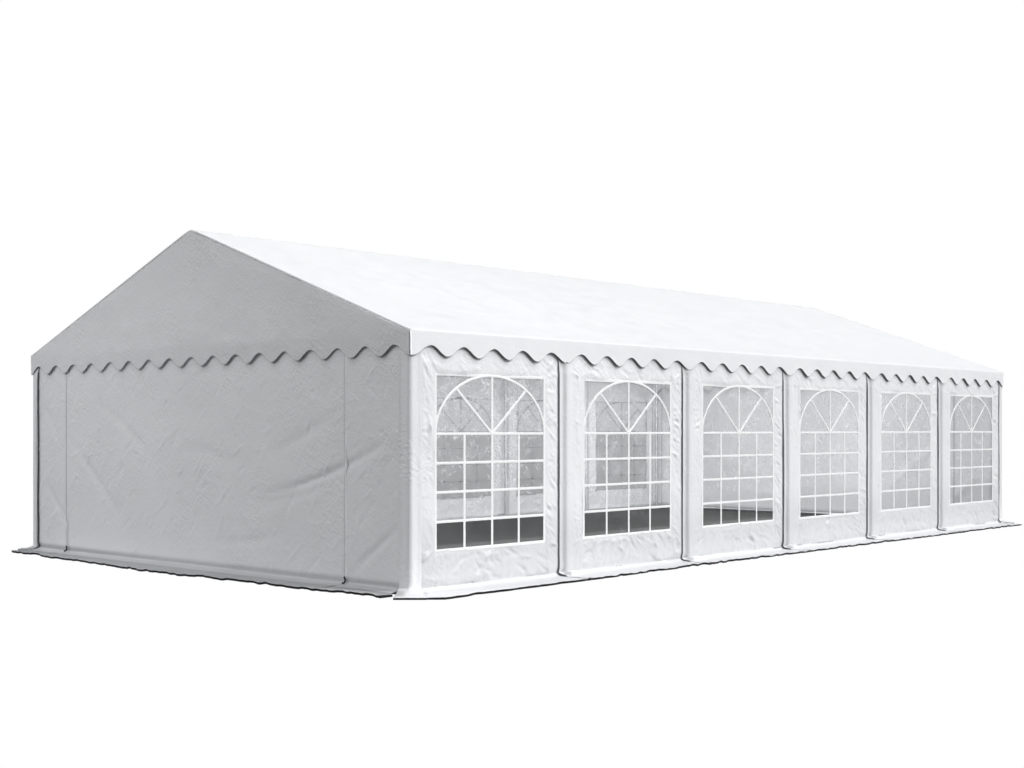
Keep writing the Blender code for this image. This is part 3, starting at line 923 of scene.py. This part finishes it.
def window_film(side, number, film):
    """Creased pane of film behind a window's border."""
    fine = side == "front"
    creased = number == 0 or not fine
    step = BACK_FILM_STEP if not fine else FIRST_FILM_STEP if creased else FILM_STEP
    left, right = window_ends(number)
    margin = 0.006
    a = steps(left - margin, right + margin, step=step)
    t = steps(HEAD_DOWN - margin, SILL_DOWN + margin, step=step)
    seed = 500 + 13 * number + (0 if fine else 7)
    fresh = Creases(a, t, seed, np.zeros((len(t), len(a))))
    slim = (0.005, 0.009)
    if creased:
        for reach, count in ((0.55, 190), (1.0, 90), (1.22, 40)):
            for angle in (42, -44):
                fresh.press_many(count, (a[0], a[-1]), (t[0], t[0] + reach), angle, 16, (0.05, 0.16),
                                 slim, (0.3, 1.0))
    fresh.press_many(14, (a[0], a[-1]), (t[0], t[-1]), 30, 25, (0.08, 0.26), slim, (0.1, 0.4))
    if number > 0:
        for k in range(3):
            place = window_centre(number) + 0.15, t[0] + 0.17 + 0.05 * k
            fresh.press(place, math.radians(14 + 3 * k), 1.1, 0.014, 0.35)
    drop = (t - t[0])[:, None] / (t[-1] - t[0])
    # The film's haze over the whole pane: thicker on the panes without many creases, thinner in the bottom
    # row
    even_haze = (0.20 if creased else 0.38) * (1 - smoothstep(drop, 0.74, 0.86))
    strength = even_haze * np.ones_like(fresh.relief) + np.clip(np.abs(fresh.relief), 0, 1)
    waves = 0.0010 * soft_noise(a[None, :] / 0.2, t[:, None] / 0.2, seed)
    relief = 0.0022 * np.clip(fresh.relief, -1, 1) + waves
    points = on_side(side, a[None, :], SIDE_PLANE - 0.004 + relief, (WALL_TOP - t)[:, None])
    piece = add_sheet(f"film_{side}_{number + 1}", points, film, crease=strength)
    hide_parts(f"window_film_{side}")
    finish(piece)


def window_bars(side, number, trim, bar_back_shade):
    """Border, arch, spokes and bars of one window, as one mesh."""
    solid = Solid()
    centre, half = window_centre(number), BORDER_WIDTH / 2
    inset = WINDOW_HALF - half + BORDER_PROUD
    low, high = WINDOW_SILL + half - BORDER_PROUD, WINDOW_TOP - half + BORDER_PROUD
    left, right = centre - inset, centre + inset

    def bar(path, width, depth):
        flat_ribbon(solid, side, SIDE_PLANE, path, width, 0.0005, depth)

    def arch_point(turn):
        return centre - inset * math.cos(turn), ARCH_SPRING + (high - ARCH_SPRING) * math.sin(turn)

    for up in (low, high):
        bar([(left - half, up), (right + half, up)], BORDER_WIDTH, 0.0014)
    for along in (left, right):
        bar([(along, low - half), (along, high + half)], BORDER_WIDTH, 0.0018)
    for up in (ARCH_SPRING, *ROW_BARS):
        bar([(left, up), (right, up)], 0.86 * BAR_WIDTH, 0.0014)
    for offset in COLUMN_BARS:
        top = high if offset == 0.0 else ARCH_SPRING
        bar([(centre + offset, low), (centre + offset, top)], BAR_WIDTH, 0.0018)
    bar([arch_point(turn) for turn in np.linspace(0, math.pi, 49)], 0.92 * BAR_WIDTH, 0.0026)
    for turn in (SPOKE_ANGLE, math.pi - SPOKE_ANGLE):
        bar([(centre, ARCH_SPRING), arch_point(turn)], 0.9 * BAR_WIDTH, 0.0022)
    piece = solid.place(f"window_bars_{side}_{number + 1}", trim)
    # The faces on the wall's plane, the back of the bars and borders, take the painted shade
    piece.data.materials.append(bar_back_shade)
    for face in piece.data.polygons:
        if abs(face.center.y) < SIDE_PLANE + 0.001:
            face.material_index = 1
    finish(piece)


# Gable walls

# Where each part starts and ends, the corner it meets, and its flap's lean towards that corner
GABLE_PARTS = (
    ("gable_side_left", -EAVE_OUT + LOOSE_EDGE, ZIP_LINES[0], "left", -0.2),
    ("gable_door", *ZIP_LINES, None, None),
    ("gable_side_right", ZIP_LINES[1], EAVE_OUT - LOOSE_EDGE, "right", 0.77),
)
GABLE_COVER = SIDE_PLANE + COVER_OFF - CORNER_LEG    # where a corner cover ends on a gable

# The long swags: centre, angle, length, width, height, bend
GABLE_SWAGS = (
    ((1.98, 1.21), 163, 2.0, 0.036, -0.013, 0.16), ((1.50, 1.42), 168, 1.5, 0.060, -0.006, 0.1),
    ((2.60, 1.83), 144, 0.85, 0.036, -0.011, -0.1), ((1.70, 0.86), 158, 1.3, 0.060, -0.006, 0.1),
    ((-1.75, 1.30), 40, 1.5, 0.055, -0.009, 0.1), ((-2.45, 1.70), 48, 0.9, 0.045, -0.009, 0.1),
    ((-1.15, 0.80), 30, 1.3, 0.055, -0.006, 0.1), ((0.30, 1.05), 8, 1.6, 0.070, -0.004, 0.1),
    ((-2.60, 0.75), 55, 0.6, 0.040, -0.006, 0.1), ((0.90, 1.85), 172, 1.4, 0.050, -0.005, 0.1),
)

# A zip's pull, bent out over the flap: beside the zip, out, up
ZIP_HOOK = (
    (-0.004, 0.006, 0.088), (0.004, 0.008, 0.076), (0.014, 0.011, 0.063),
    (0.020, 0.016, 0.051), (0.017, 0.026, 0.041), (0.004, 0.040, 0.035),
)


def gable_relief(a, t, seed, fine):
    """Relief of the whole gable wall: swags that hang from both sides, and fine creases."""
    cloth = Creases(a, t, seed, crumple(a, t, seed, 0.7), 1.0 if fine else 0.4)
    for centre, angle, *sizes in GABLE_SWAGS:
        cloth.press(centre, math.radians(angle), *sizes)
    slim = (0.008, 0.016) if fine else (0.02, 0.035)
    across, down = (-2.9, 2.9), (0.25, 2.1)
    cloth.press_many(260, across, down, -52, 16, (0.06, 0.24), slim, (0.0012, 0.0042))
    cloth.press_many(160, across, down, 35, 22, (0.06, 0.22), slim, (0.0010, 0.0030))
    cloth.press_many(60, across, (0.9, 2.1), -48, 10, (0.20, 0.45), slim, (0.0020, 0.0050))
    relief, on_wall = 1.9 * cloth.relief, wall_share(t)
    relief = relief * (0.2 + 0.8 * on_wall)
    for zip_line in ZIP_LINES:
        near_zip = 1 - smoothstep(np.abs(a - zip_line), 0.0, 0.05)[None, :]
        relief = relief * (1 - 0.3 * near_zip) - 0.003 * near_zip * on_wall
    ends = smoothstep(EAVE_OUT - CORNER_LEG - np.abs(a), -0.02, 0.05)[None, :]
    return settle(relief * (0.25 + 0.75 * ends), t, 0.8)


def gable_shade(a, t, seed, fine):
    """Shade of a gable wall: under its top, beside the zips and the corners, and on the flap."""
    on_wall = wall_share(t)
    shade = wave_shade(a, t, GABLE_REACH, GABLE_WAVES, 0.68 if fine else 0.3, -0.003, 0.046)
    shade = shade * (0.72 + 0.28 * smoothstep(a, 0.0, 2.4)[None, :])
    half = 0.004 + 0.010 * (1 - on_wall)
    # Painted shade in the groove beside each zip, and in the slit where the zip runs out over the flap
    for zip_line, deep in zip(ZIP_LINES, (0.40, 0.24)):
        groove = 1 - smoothstep(np.abs(a - zip_line + 0.008)[None, :], half, half + 0.006)
        shade = np.maximum(shade, (deep + (0.70 - deep) * (1 - on_wall)) * groove)
    shade = np.maximum(shade, on_wall * edge_shade(a, -GABLE_COVER + 0.008, 1, 0.93, 0.55, 0.008))
    shade = np.maximum(shade, on_wall * edge_shade(a, GABLE_COVER, -1, 0.4, 0.08))
    left_share = 1 - smoothstep(a, -2.5, 0.0)[None, :]
    right_share = smoothstep(a, 2.2, 2.8)[None, :]
    shade = both_shades(shade, bar_shade(a, t, seed, 0.36, False) * (1 + 0.3 * left_share))
    shade = both_shades(shade, flap_painted_shade(t, 0.20) * (1 + 0.4 * left_share + 1.3 * right_share))
    return both_shades(shade, gable_painted_shade(a))


def gable_cloth(end, cloth):
    """The three sheets of a gable wall, which meet at the zips."""
    fine = end == "near"
    step, seed = (NEAR_STEP, 900) if fine else (FAR_STEP, 950)
    t = wall_rows((), step, fine)
    for name, start, stop, corner, lean in GABLE_PARTS:
        a = with_lines(steps(start, stop, step=step), -GABLE_COVER, *ZIP_LINES, GABLE_COVER)
        points = hang_cloth(end, GABLE_PLANE, a, t, gable_relief(a, t, seed, fine), seed + 41)
        shade = gable_shade(a, t, seed, fine)
        keep = np.ones((len(t) - 1, len(a) - 1), bool)
        if corner:
            keep = mitre(a, t, corner, EAVE_OUT, lean)
        piece = add_wall(f"{name}_cloth_{end}", points, cloth, keep, shade, corner)
        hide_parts(f"{name}_{end}")
        finish(piece)


def gable_zips(end, cloth, dark):
    """Cover lips of the two zips, with a pull at the foot of each."""
    lips, pulls = Solid(), Solid()
    heights = np.linspace(0.075, 2.04, 60)
    for zip_line in ZIP_LINES:
        sway = zip_line + 0.012 + 0.002 * line_noise(heights / 0.35, 77)
        flat_ribbon(lips, end, GABLE_PLANE, list(zip(sway, heights)), 0.016, -0.003, 0.0024)
        hook = [on_side(end, zip_line + beside, GABLE_PLANE + out, up) for beside, out, up in ZIP_HOOK]
        round_tube(pulls, hook, 0.0085)
    piece = lips.place(f"zip_lips_{end}", cloth)
    # Painted shade on the lips, a share of the gable's painted shade beside them
    along = np.array(lips.points)[:, 1] * (-1 if end == "near" else 1)
    mark_points(piece, "shade", 0.2 * gable_painted_shade(along)[0])
    finish(piece)
    finish(pulls.place(f"zip_pulls_{end}", dark))


# Valances, gable tops and roof

def wave_phase(share):
    """Waves from the left end, those of each bay crowded away from its left post."""
    places = [5 * bay + place for bay in range(BAYS) for place in WAVE_PLACES] + [SIDE_WAVES]
    return np.interp(SIDE_WAVES * share, places, np.arange(len(places)) / 2)


def wave_drop(share, waves):
    """How far the wavy edge lies below the eave, over the share of its length."""
    phase = wave_phase(share) if waves == SIDE_WAVES else waves * share
    return WAVE_MEAN + WAVE_SWING * np.cos(2 * math.pi * phase)


def round_ends(along, out, reach):
    """Turns the ends of a strip half way round the corner that it shares with the next side."""
    start = reach - TURN_RADIUS
    over = np.clip(np.abs(along) - start, 0, None)
    turn = np.clip(over / TURN_RADIUS, 0, math.pi / 4)
    turned = np.sign(along) * (start + TURN_RADIUS * np.sin(turn))
    return np.where(over > 0, turned, along), out - TURN_RADIUS * (1 - np.cos(turn))


def valance(side, cloth):
    """Strip with waves along the eave of a long side, a little off the wall at its edge."""
    end = SIDE_REACH + TURN_RADIUS * (math.pi / 4 - math.sin(math.pi / 4))
    path = np.concatenate([[-end], np.linspace(-SIDE_REACH, SIDE_REACH, SIDE_WAVES * 24 + 1), [end]])
    share = np.clip((path + SIDE_REACH) / (2 * SIDE_REACH), 0, 1)
    down = np.concatenate([np.linspace(0, 0.92, 12), [0.976, 0.979, 1.0]])[:, None]
    top = 0.010
    up = EAVE - top - down * (wave_drop(share, SIDE_WAVES)[None, :] - top)
    seed = 300 if side == "front" else 310
    sway = line_noise(path / 0.9, seed)[None, :]
    ripple = soft_noise(path[None, :] / 0.13, down * 1.6, seed + 1)
    out = VALANCE_OFF + down ** 1.3 * (0.002 + 0.003 * sway) + 0.0035 * down * ripple
    calm = smoothstep(VERGE_OUT - np.abs(path), 0.0, 0.25)[None, :]
    out = (VALANCE_OFF + down ** 1.3 * 0.002) * (1 - calm) + out * calm
    along, out = round_ends(path[None, :] * np.ones_like(up), out, SIDE_REACH)
    points = on_side(side, along, EAVE_OUT - 0.003 + out, up)
    # Painted shade: a thin dark line along the wavy edge, for the shadow under it
    shade = np.where(down > 0.978, 0.45, 0.0) * np.ones_like(up)
    piece = add_sheet(f"valance_cloth_{side}", points, cloth, shade=shade)
    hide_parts(f"valance_{side}")
    finish(piece)


def gable_top(end, cloth):
    """Triangle under the roof's edge, with its wavy lower edge off the wall."""
    fine = end == "near"
    seed, per_wave, rows = (330, 20, 61) if fine else (340, 12, 31)
    reach = GABLE_REACH
    path = np.linspace(-reach, reach, GABLE_WAVES * per_wave + 1)[None, :]
    down = np.linspace(0, 1, rows)[:, None] ** 0.8
    top = RIDGE - 0.012 - np.abs(path) * PITCH
    bottom = EAVE - wave_drop((path + reach) / (2 * reach), GABLE_WAVES)
    up = top + down * (bottom - top)
    height = up - bottom
    hang = 1 - smoothstep(height, 0.0, 1.1)
    calm = smoothstep(EAVE_OUT - np.abs(path), 0.0, 0.25)
    out = 0.002 + (0.007 + 0.004 * calm) * hang ** 1.4
    out = out + 0.010 * (1 - smoothstep(top - up, 0.0, 0.40))
    out = out + hang * calm * 0.004 * soft_noise(path / 0.14, up / 0.12, seed)
    inner = smoothstep(down, 0.0, 0.12) * smoothstep(reach - np.abs(path), 0.0, 0.2)
    field = 0.0040 * soft_noise(path / 0.7, up / 0.4, seed + 2)
    field = field + 0.0018 * soft_noise((path + up) / 0.17, (path - up) / 0.25, seed + 3)
    field = field + 0.0012 * sharp_noise((path + 1.6 * up) / 0.12, (path - up) / 0.4, seed + 4)
    along, out = round_ends(path * np.ones_like(up), out + inner * field, reach)
    points = on_side(end, along, VERGE_OUT - 0.003 + out, up)
    # Painted shade: a dark line along the wavy edge, with the gable's painted shade growing to the right
    edge = 0.35 * (1 - smoothstep(height, 0.002, 0.006))
    shade = both_shades(edge, gable_painted_shade(path[0]) + 0.01)
    piece = add_sheet(f"gable_top_cloth_{end}", points, cloth, shade=shade)
    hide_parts(f"gable_top_{end}")
    finish(piece)


def roof_across():
    """Places across the roof, and how far its edges have turned down there."""
    turn = np.linspace(0, math.pi / 2, 8)[1:]
    start = ROOF_Y - ROOF_RADIUS
    flat = np.concatenate([steps(0.0, 0.06, step=0.02), steps(0.06, start, step=ROOF_STEP)[1:]])
    half = np.concatenate([flat, start + ROOF_RADIUS * np.sin(turn), [ROOF_Y, ROOF_Y + 0.001]])
    fall = np.concatenate([
        np.zeros_like(flat), ROOF_RADIUS * (1 - np.cos(turn)),
        [ROOF_RADIUS + ROOF_HEM / 2, ROOF_RADIUS + ROOF_HEM],
    ])
    return np.concatenate([half[::-1], -half[1:]]), np.concatenate([fall[::-1], fall[1:]])


def roof_along():
    """Places along the roof, and how far its edges have turned down there."""
    turn = np.linspace(0, math.pi / 2, 6)
    start = ROOF_X - ROOF_RADIUS
    flat = steps(-start, start, step=ROOF_STEP)[1:-1]
    edge, fall = start + ROOF_RADIUS * np.sin(turn), ROOF_RADIUS * (1 - np.cos(turn))
    return (np.concatenate([-edge[::-1], flat, edge]),
            np.concatenate([fall[::-1], np.zeros_like(flat), fall]))


def roof_cloth(cloth):
    """Both slopes in one sheet, rounded over the ridge and turned down along all its edges."""
    x, x_fall = (line[None, :] for line in roof_along())
    y, y_fall = (line[:, None] for line in roof_across())
    ridge_round = 0.045
    height = RIDGE + 0.004 - PITCH * (np.sqrt(y ** 2 + ridge_round ** 2) - ridge_round * 0.55)
    bay_sag = np.sin(math.pi * (x + HALF_LENGTH) / BAY) ** 2
    purlin_sag = np.abs(np.sin(math.pi * y / (EAVE_OUT / 2)))
    inside = smoothstep(ROOF_X - np.abs(x), 0.0, 0.5) * smoothstep(ROOF_Y - np.abs(y), 0.0, 0.3)
    folds = 0.0090 * soft_noise((x + 1.3 * y) / 1.5, (x - 2.0 * y) / 3.2, 41)
    folds = folds + 0.0025 * soft_noise((x + 0.7 * y) / 0.5, (y - 0.2 * x) / 1.1, 42)
    relief = inside * (-0.010 * bay_sag * purlin_sag + 0.5 * np.abs(folds) * (0.3 + 0.7 * bay_sag))
    points = np.stack(np.broadcast_arrays(x, y, height + relief - y_fall - x_fall), -1)
    piece = add_sheet("roof_cloth", points, cloth)
    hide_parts("roof_cover")
    finish(piece)


def verge_piping(trim):
    """Round piping along the gable edges of the roof."""
    half = np.linspace(-EAVE_OUT - 0.008, -0.05, 40)
    ys = np.concatenate([half, np.linspace(-0.03, 0.03, 5), -half[::-1]])
    for end, x in (("near", -VERGE_OUT), ("far", VERGE_OUT)):
        solid = Solid()
        path = [(x, y, RIDGE - 0.002 - PITCH * (math.hypot(y, 0.045) - 0.025)) for y in ys]
        round_tube(solid, path, 0.009, 12)
        finish(solid.place(f"verge_piping_{end}", trim))


# Corner covers

def corner_line(loose_end):
    """Line round a corner on the walls, from the long wall to the gable."""
    corner_x, corner_y, radius = GABLE_PLANE + COVER_OFF, SIDE_PLANE + COVER_OFF, 0.032
    leg = np.linspace(CORNER_LEG, radius, 12)
    gable_end = CORNER_LEG + (0.012 if loose_end else 0.0)
    gable_leg = np.append(np.linspace(radius, gable_end - 0.006, 11), gable_end)
    turn = np.linspace(0, math.pi / 2, 9)[1:-1]
    x = [corner_x - leg, corner_x - radius + radius * np.sin(turn), np.full(12, corner_x)]
    y = [np.full(12, corner_y), corner_y - radius + radius * np.cos(turn), corner_y - gable_leg]
    return np.concatenate(x)[None, :], np.concatenate(y)[None, :]


def corner_rows():
    """Heights of a corner cover's rows, and how far each has spread along the ground, from 0 to 1."""
    wall = np.concatenate([[WALL_TOP], np.linspace(2.09, 1.93, 33), np.linspace(1.91, 0.055, 78)])
    foot = np.linspace(0, 1, 15)[1:]
    heights = np.concatenate([wall, 0.018 + 0.037 * (1 - foot) ** 2.0])
    return heights[:, None], np.concatenate([0 * wall, foot ** 1.1])[:, None]


def corner_places(across, heights, spread, loose_end, seed):
    """How far out along x and y the points of a corner cover lie."""
    x, y = corner_line(loose_end)
    relief = 0.0035 * soft_noise(across * 2, heights / 0.28, seed)
    relief = relief + 0.0015 * soft_noise(across * 5, heights / 0.09, seed + 1)
    stand = relief * (1 - smoothstep(heights, 1.9, 2.0)) * (1 - spread)
    stand = stand * smoothstep(np.abs(across - 0.5), 0.05, 0.3)
    loose = (0.020 if loose_end else 0.004) * smoothstep(across, 0.55, 1.0)
    loose = loose * (1 - 0.8 * smoothstep(heights, 1.9, 2.05))
    tuck = 0.006 * smoothstep(heights, 1.98, 2.08)
    wall_x = x + (stand + loose * (1 - spread)) * (across >= 0.5) - tuck
    wall_y = y + (stand + 0.004 * smoothstep(0.5 - across, 0.3, 0.5)) * (across < 0.5) - tuck
    tongue, inner = (0.15, 0.068) if loose_end else (0.342, 0.153)
    foot_x = GABLE_PLANE + inner + (tongue - inner) * across
    foot_y = SIDE_PLANE + tongue - (tongue - inner) * across
    return wall_x * (1 - spread) + foot_x * spread, wall_y * (1 - spread) + foot_y * spread


def corner_shade(x, y, up, gable_leg):
    """Dark gap behind the waves of the valances, on both legs of a corner cover."""
    shades = []
    for place, reach, waves in ((x, SIDE_REACH, SIDE_WAVES), (y, GABLE_REACH, GABLE_WAVES)):
        edge = EAVE - wave_drop(np.clip((reach - place) / (2 * reach), 0, 1), waves)
        below = edge - up
        core = 0.7 * (1 - smoothstep(below, 0.0, 0.006))
        shade = np.maximum(core, 0.25 * np.exp(-np.clip(below, 0, None) / 0.022))
        shades.append(shade * smoothstep(below, -0.05, -0.03))
    return np.where(gable_leg, shades[1], shades[0])


def corner_painted_shade(across, spread):
    """Painted shade: the gable leg of a spread corner cover is greyer, and so is part of its foot."""
    foot = smoothstep(spread, 0.1, 0.4) * (1 - smoothstep(spread, 0.6, 1.0))
    wall = 0.22 * smoothstep(across, 0.5, 0.6) * (1 - smoothstep(spread, 0.0, 0.5))
    return wall + 0.40 * smoothstep(across, 0.60, 0.80) * foot


def corner_cover(end, side, cloth):
    """Cover round one corner of the tent, its foot spread out on the ground."""
    sign_x, sign_y = (-1 if end == "near" else 1), (-1 if side == "front" else 1)
    loose_end = sign_x * sign_y < 0
    heights, spread = corner_rows()
    across = np.linspace(0, 1, corner_line(loose_end)[0].size)[None, :]
    x, y = corner_places(across, heights, spread, loose_end, 700 + 3 * sign_x + sign_y)
    up = heights * np.ones_like(x)
    shade = corner_shade(x, y, up, across >= 0.5)
    # Covers without a loose end get the painted shade of their gable leg and foot
    if not loose_end:
        shade = both_shades(shade, corner_painted_shade(across, spread))
    drop = np.where(spread > 0, 0.014, 0.0)
    x = np.hstack([x[:, :1], x, x[:, -1:] - 0.006])
    y = np.hstack([y[:, :1] - 0.006, y, y[:, -1:]])
    up = np.hstack([up[:, :1] - drop, up, up[:, -1:] - drop])
    # Painted shade: dark turned-in side folds, lighter where the foot starts to spread, and a fully dark
    # hem for the shadow under the cover's edge
    side_shade = np.where((spread > 0) & (spread < 0.35), 0.1, 0.8)
    shade = hem_rows(np.hstack([side_shade, shade, side_shade]))
    x, y = (np.vstack([part, part[-1:] + 0.001, part[-1:] - 0.004]) for part in (x, y))
    up = np.maximum(np.vstack([up, up[-1:] - HEM_TURN, 0 * up[-1:]]), 0.0)
    points = np.stack([sign_x * x, sign_y * y, up], -1)
    if not loose_end:
        points, shade = points[:, ::-1], shade[:, ::-1]
    piece = add_sheet(f"corner_cloth_{end}_{side}", points, cloth, shade=shade)
    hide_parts(f"corner_cover_{end}_{side}")
    finish(piece)


# Stage

# Each sun: towards where it stands, its strength, and its angle in degrees
KEY = (0.34, -0.66, 0.67), 3.32, 14.0
SIDE_LIGHT = (-0.76, 0.38, 0.53), 1.34, 22.0
WALL_LIGHT, GABLE_LIGHT = 128.0, 33.0    # inside the tent
SKY = 0.25
BEHIND_FILM = 0.60             # of the backdrop, as seen through the film
FLOOR_SIZE = 400.0


def aim(thing, direction):
    thing.rotation_mode = "QUATERNION"
    thing.rotation_quaternion = Vector(direction).to_track_quat("-Z", "Y")


def add_light(name, kind, energy, direction):
    lamp = link_object(name, bpy.data.lights.new(name, kind))
    lamp.data.energy = energy
    aim(lamp, direction)
    return lamp


def add_sun(name, towards, strength, angle):
    sun = add_light(name, "SUN", strength, [-v for v in towards])
    sun.data.angle = math.radians(angle)


def add_inner_light(place, size, direction, energy):
    """Soft light in the middle of the tent, out of the camera's sight."""
    lamp = add_light("inner", "AREA", energy, direction)
    lamp.data.shape = "RECTANGLE"
    lamp.data.size, lamp.data.size_y = size, 1.8
    lamp.location = place
    lamp.visible_camera = False


def add_inner_lights():
    """Light on the inner sides of the long walls and of the gables."""
    for sign in (-1, 1):
        add_inner_light((0.0, -0.2 * sign, 1.0), 10.5, (0.0, sign, 0.0), WALL_LIGHT)
        add_inner_light((3.0 * sign, 1.0 * sign, 1.3), 3.6, (sign, 0.0, 0.0), GABLE_LIGHT)


def add_camera():
    data = bpy.data.cameras.new("camera")
    data.lens = CAMERA_LENS
    data.sensor_width = SENSOR_WIDTH
    data.sensor_fit = "HORIZONTAL"
    data.shift_x, data.shift_y = CAMERA_SHIFT
    data.clip_end = 500.0
    camera = link_object("camera", data)
    camera.location = CAMERA_PLACE
    aim(camera, (math.cos(CAMERA_YAW), math.sin(CAMERA_YAW), 0.0))
    bpy.context.scene.camera = camera


def add_world():
    """White backdrop, and a softer, dimmer sky for the light."""
    world = bpy.data.worlds.new("studio")
    bpy.context.scene.world = world
    tree = Tree(world)
    skies = (((0.93, 0.96, 1.0), SKY), ((0.95, 0.97, 1.0), BEHIND_FILM), ((1.0, 1.0, 1.0), 1.0))
    skies = [tree.add("Background", {"Color": (*tint, 1.0), "Strength": glow}) for tint, glow in skies]
    tree.end_by_look(*(sky.outputs["Background"] for sky in skies))


def add_ground(name, outline, height, material):
    corners = np.array([(x, y, height) for x, y in outline], float)
    add_object(name, corners, [tuple(range(len(corners)))], material)


def add_floor():
    """Floor round the tent, and the dark one inside it."""
    size = FLOOR_SIZE
    add_ground("floor", ((-size, -size), (size, -size), (size, size), (-size, size)), 0.0, floor_material())
    x, y = HALF_LENGTH + 0.1, EAVE_OUT + 0.06
    long, deep = 0.35, 0.06        # notch at the near front corner, where the floor would show by the flap
    outline = (-x + long, -y), (x, -y), (x, y), (-x, y), (-x, -y + deep), (-x + long, -y + deep)
    add_ground("inner_floor", outline, 0.0005, inner_floor_material())


# The tent

def dress_frame(steel):
    """Steel on the frame's own tubes."""
    for name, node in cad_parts.items():
        if name.startswith(("arch_", "ridge_", "eave_", "mid_", "ground_")):
            node.data.shade_smooth()
            node.data.set_sharp_from_angle(angle=SHARP)
            for slot in node.material_slots:
                slot.material = steel


def dress_cover():
    """Cloth, film, bars, zips and piping, over the whole cover."""
    cloth = cloth_material("wall_cloth", (0.885, 0.888, 0.90), (0.86, 0.865, 0.88), 0.62, 0.10,
                           turned(1, (-38, 32)))
    gable = cloth_material("gable_cloth", (0.875, 0.882, 0.895), (0.85, 0.857, 0.87), 1.0, 0.06,
                           turned(0, (-54, 30)))
    roof = cloth_material("roof_cloth", (0.872, 0.877, 0.887), (0.858, 0.864, 0.876), 0.10, 0.05)
    # The valance's cloth is paler than the walls': painted light that makes up for its facing a little
    # downwards
    hanging = cloth_material("valance_cloth", (0.950, 0.954, 0.965), (0.925, 0.930, 0.945), 0.4, 0.06)
    film, trim, bar_back_shade, dark = film_material(), trim_material(), bar_back_shade_material(), dark_material()
    roof_cloth(roof)
    verge_piping(trim)
    for side in LONG_SIDES:
        for number in range(BAYS):
            window_cloth(side, number, cloth)
            window_film(side, number, film)
            window_bars(side, number, trim, bar_back_shade)
        valance(side, hanging)
    for end in ("near", "far"):
        gable_cloth(end, gable)
        gable_top(end, gable)
        gable_zips(end, gable, dark)
        for side in LONG_SIDES:
            corner_cover(end, side, cloth)


def build():
    bpy.context.scene.view_settings.view_transform = "Standard"
    add_camera()
    add_world()
    add_sun("key", *KEY)
    add_sun("side_light", *SIDE_LIGHT)
    add_inner_lights()
    add_floor()
    dress_frame(steel_material())
    dress_cover()


build()
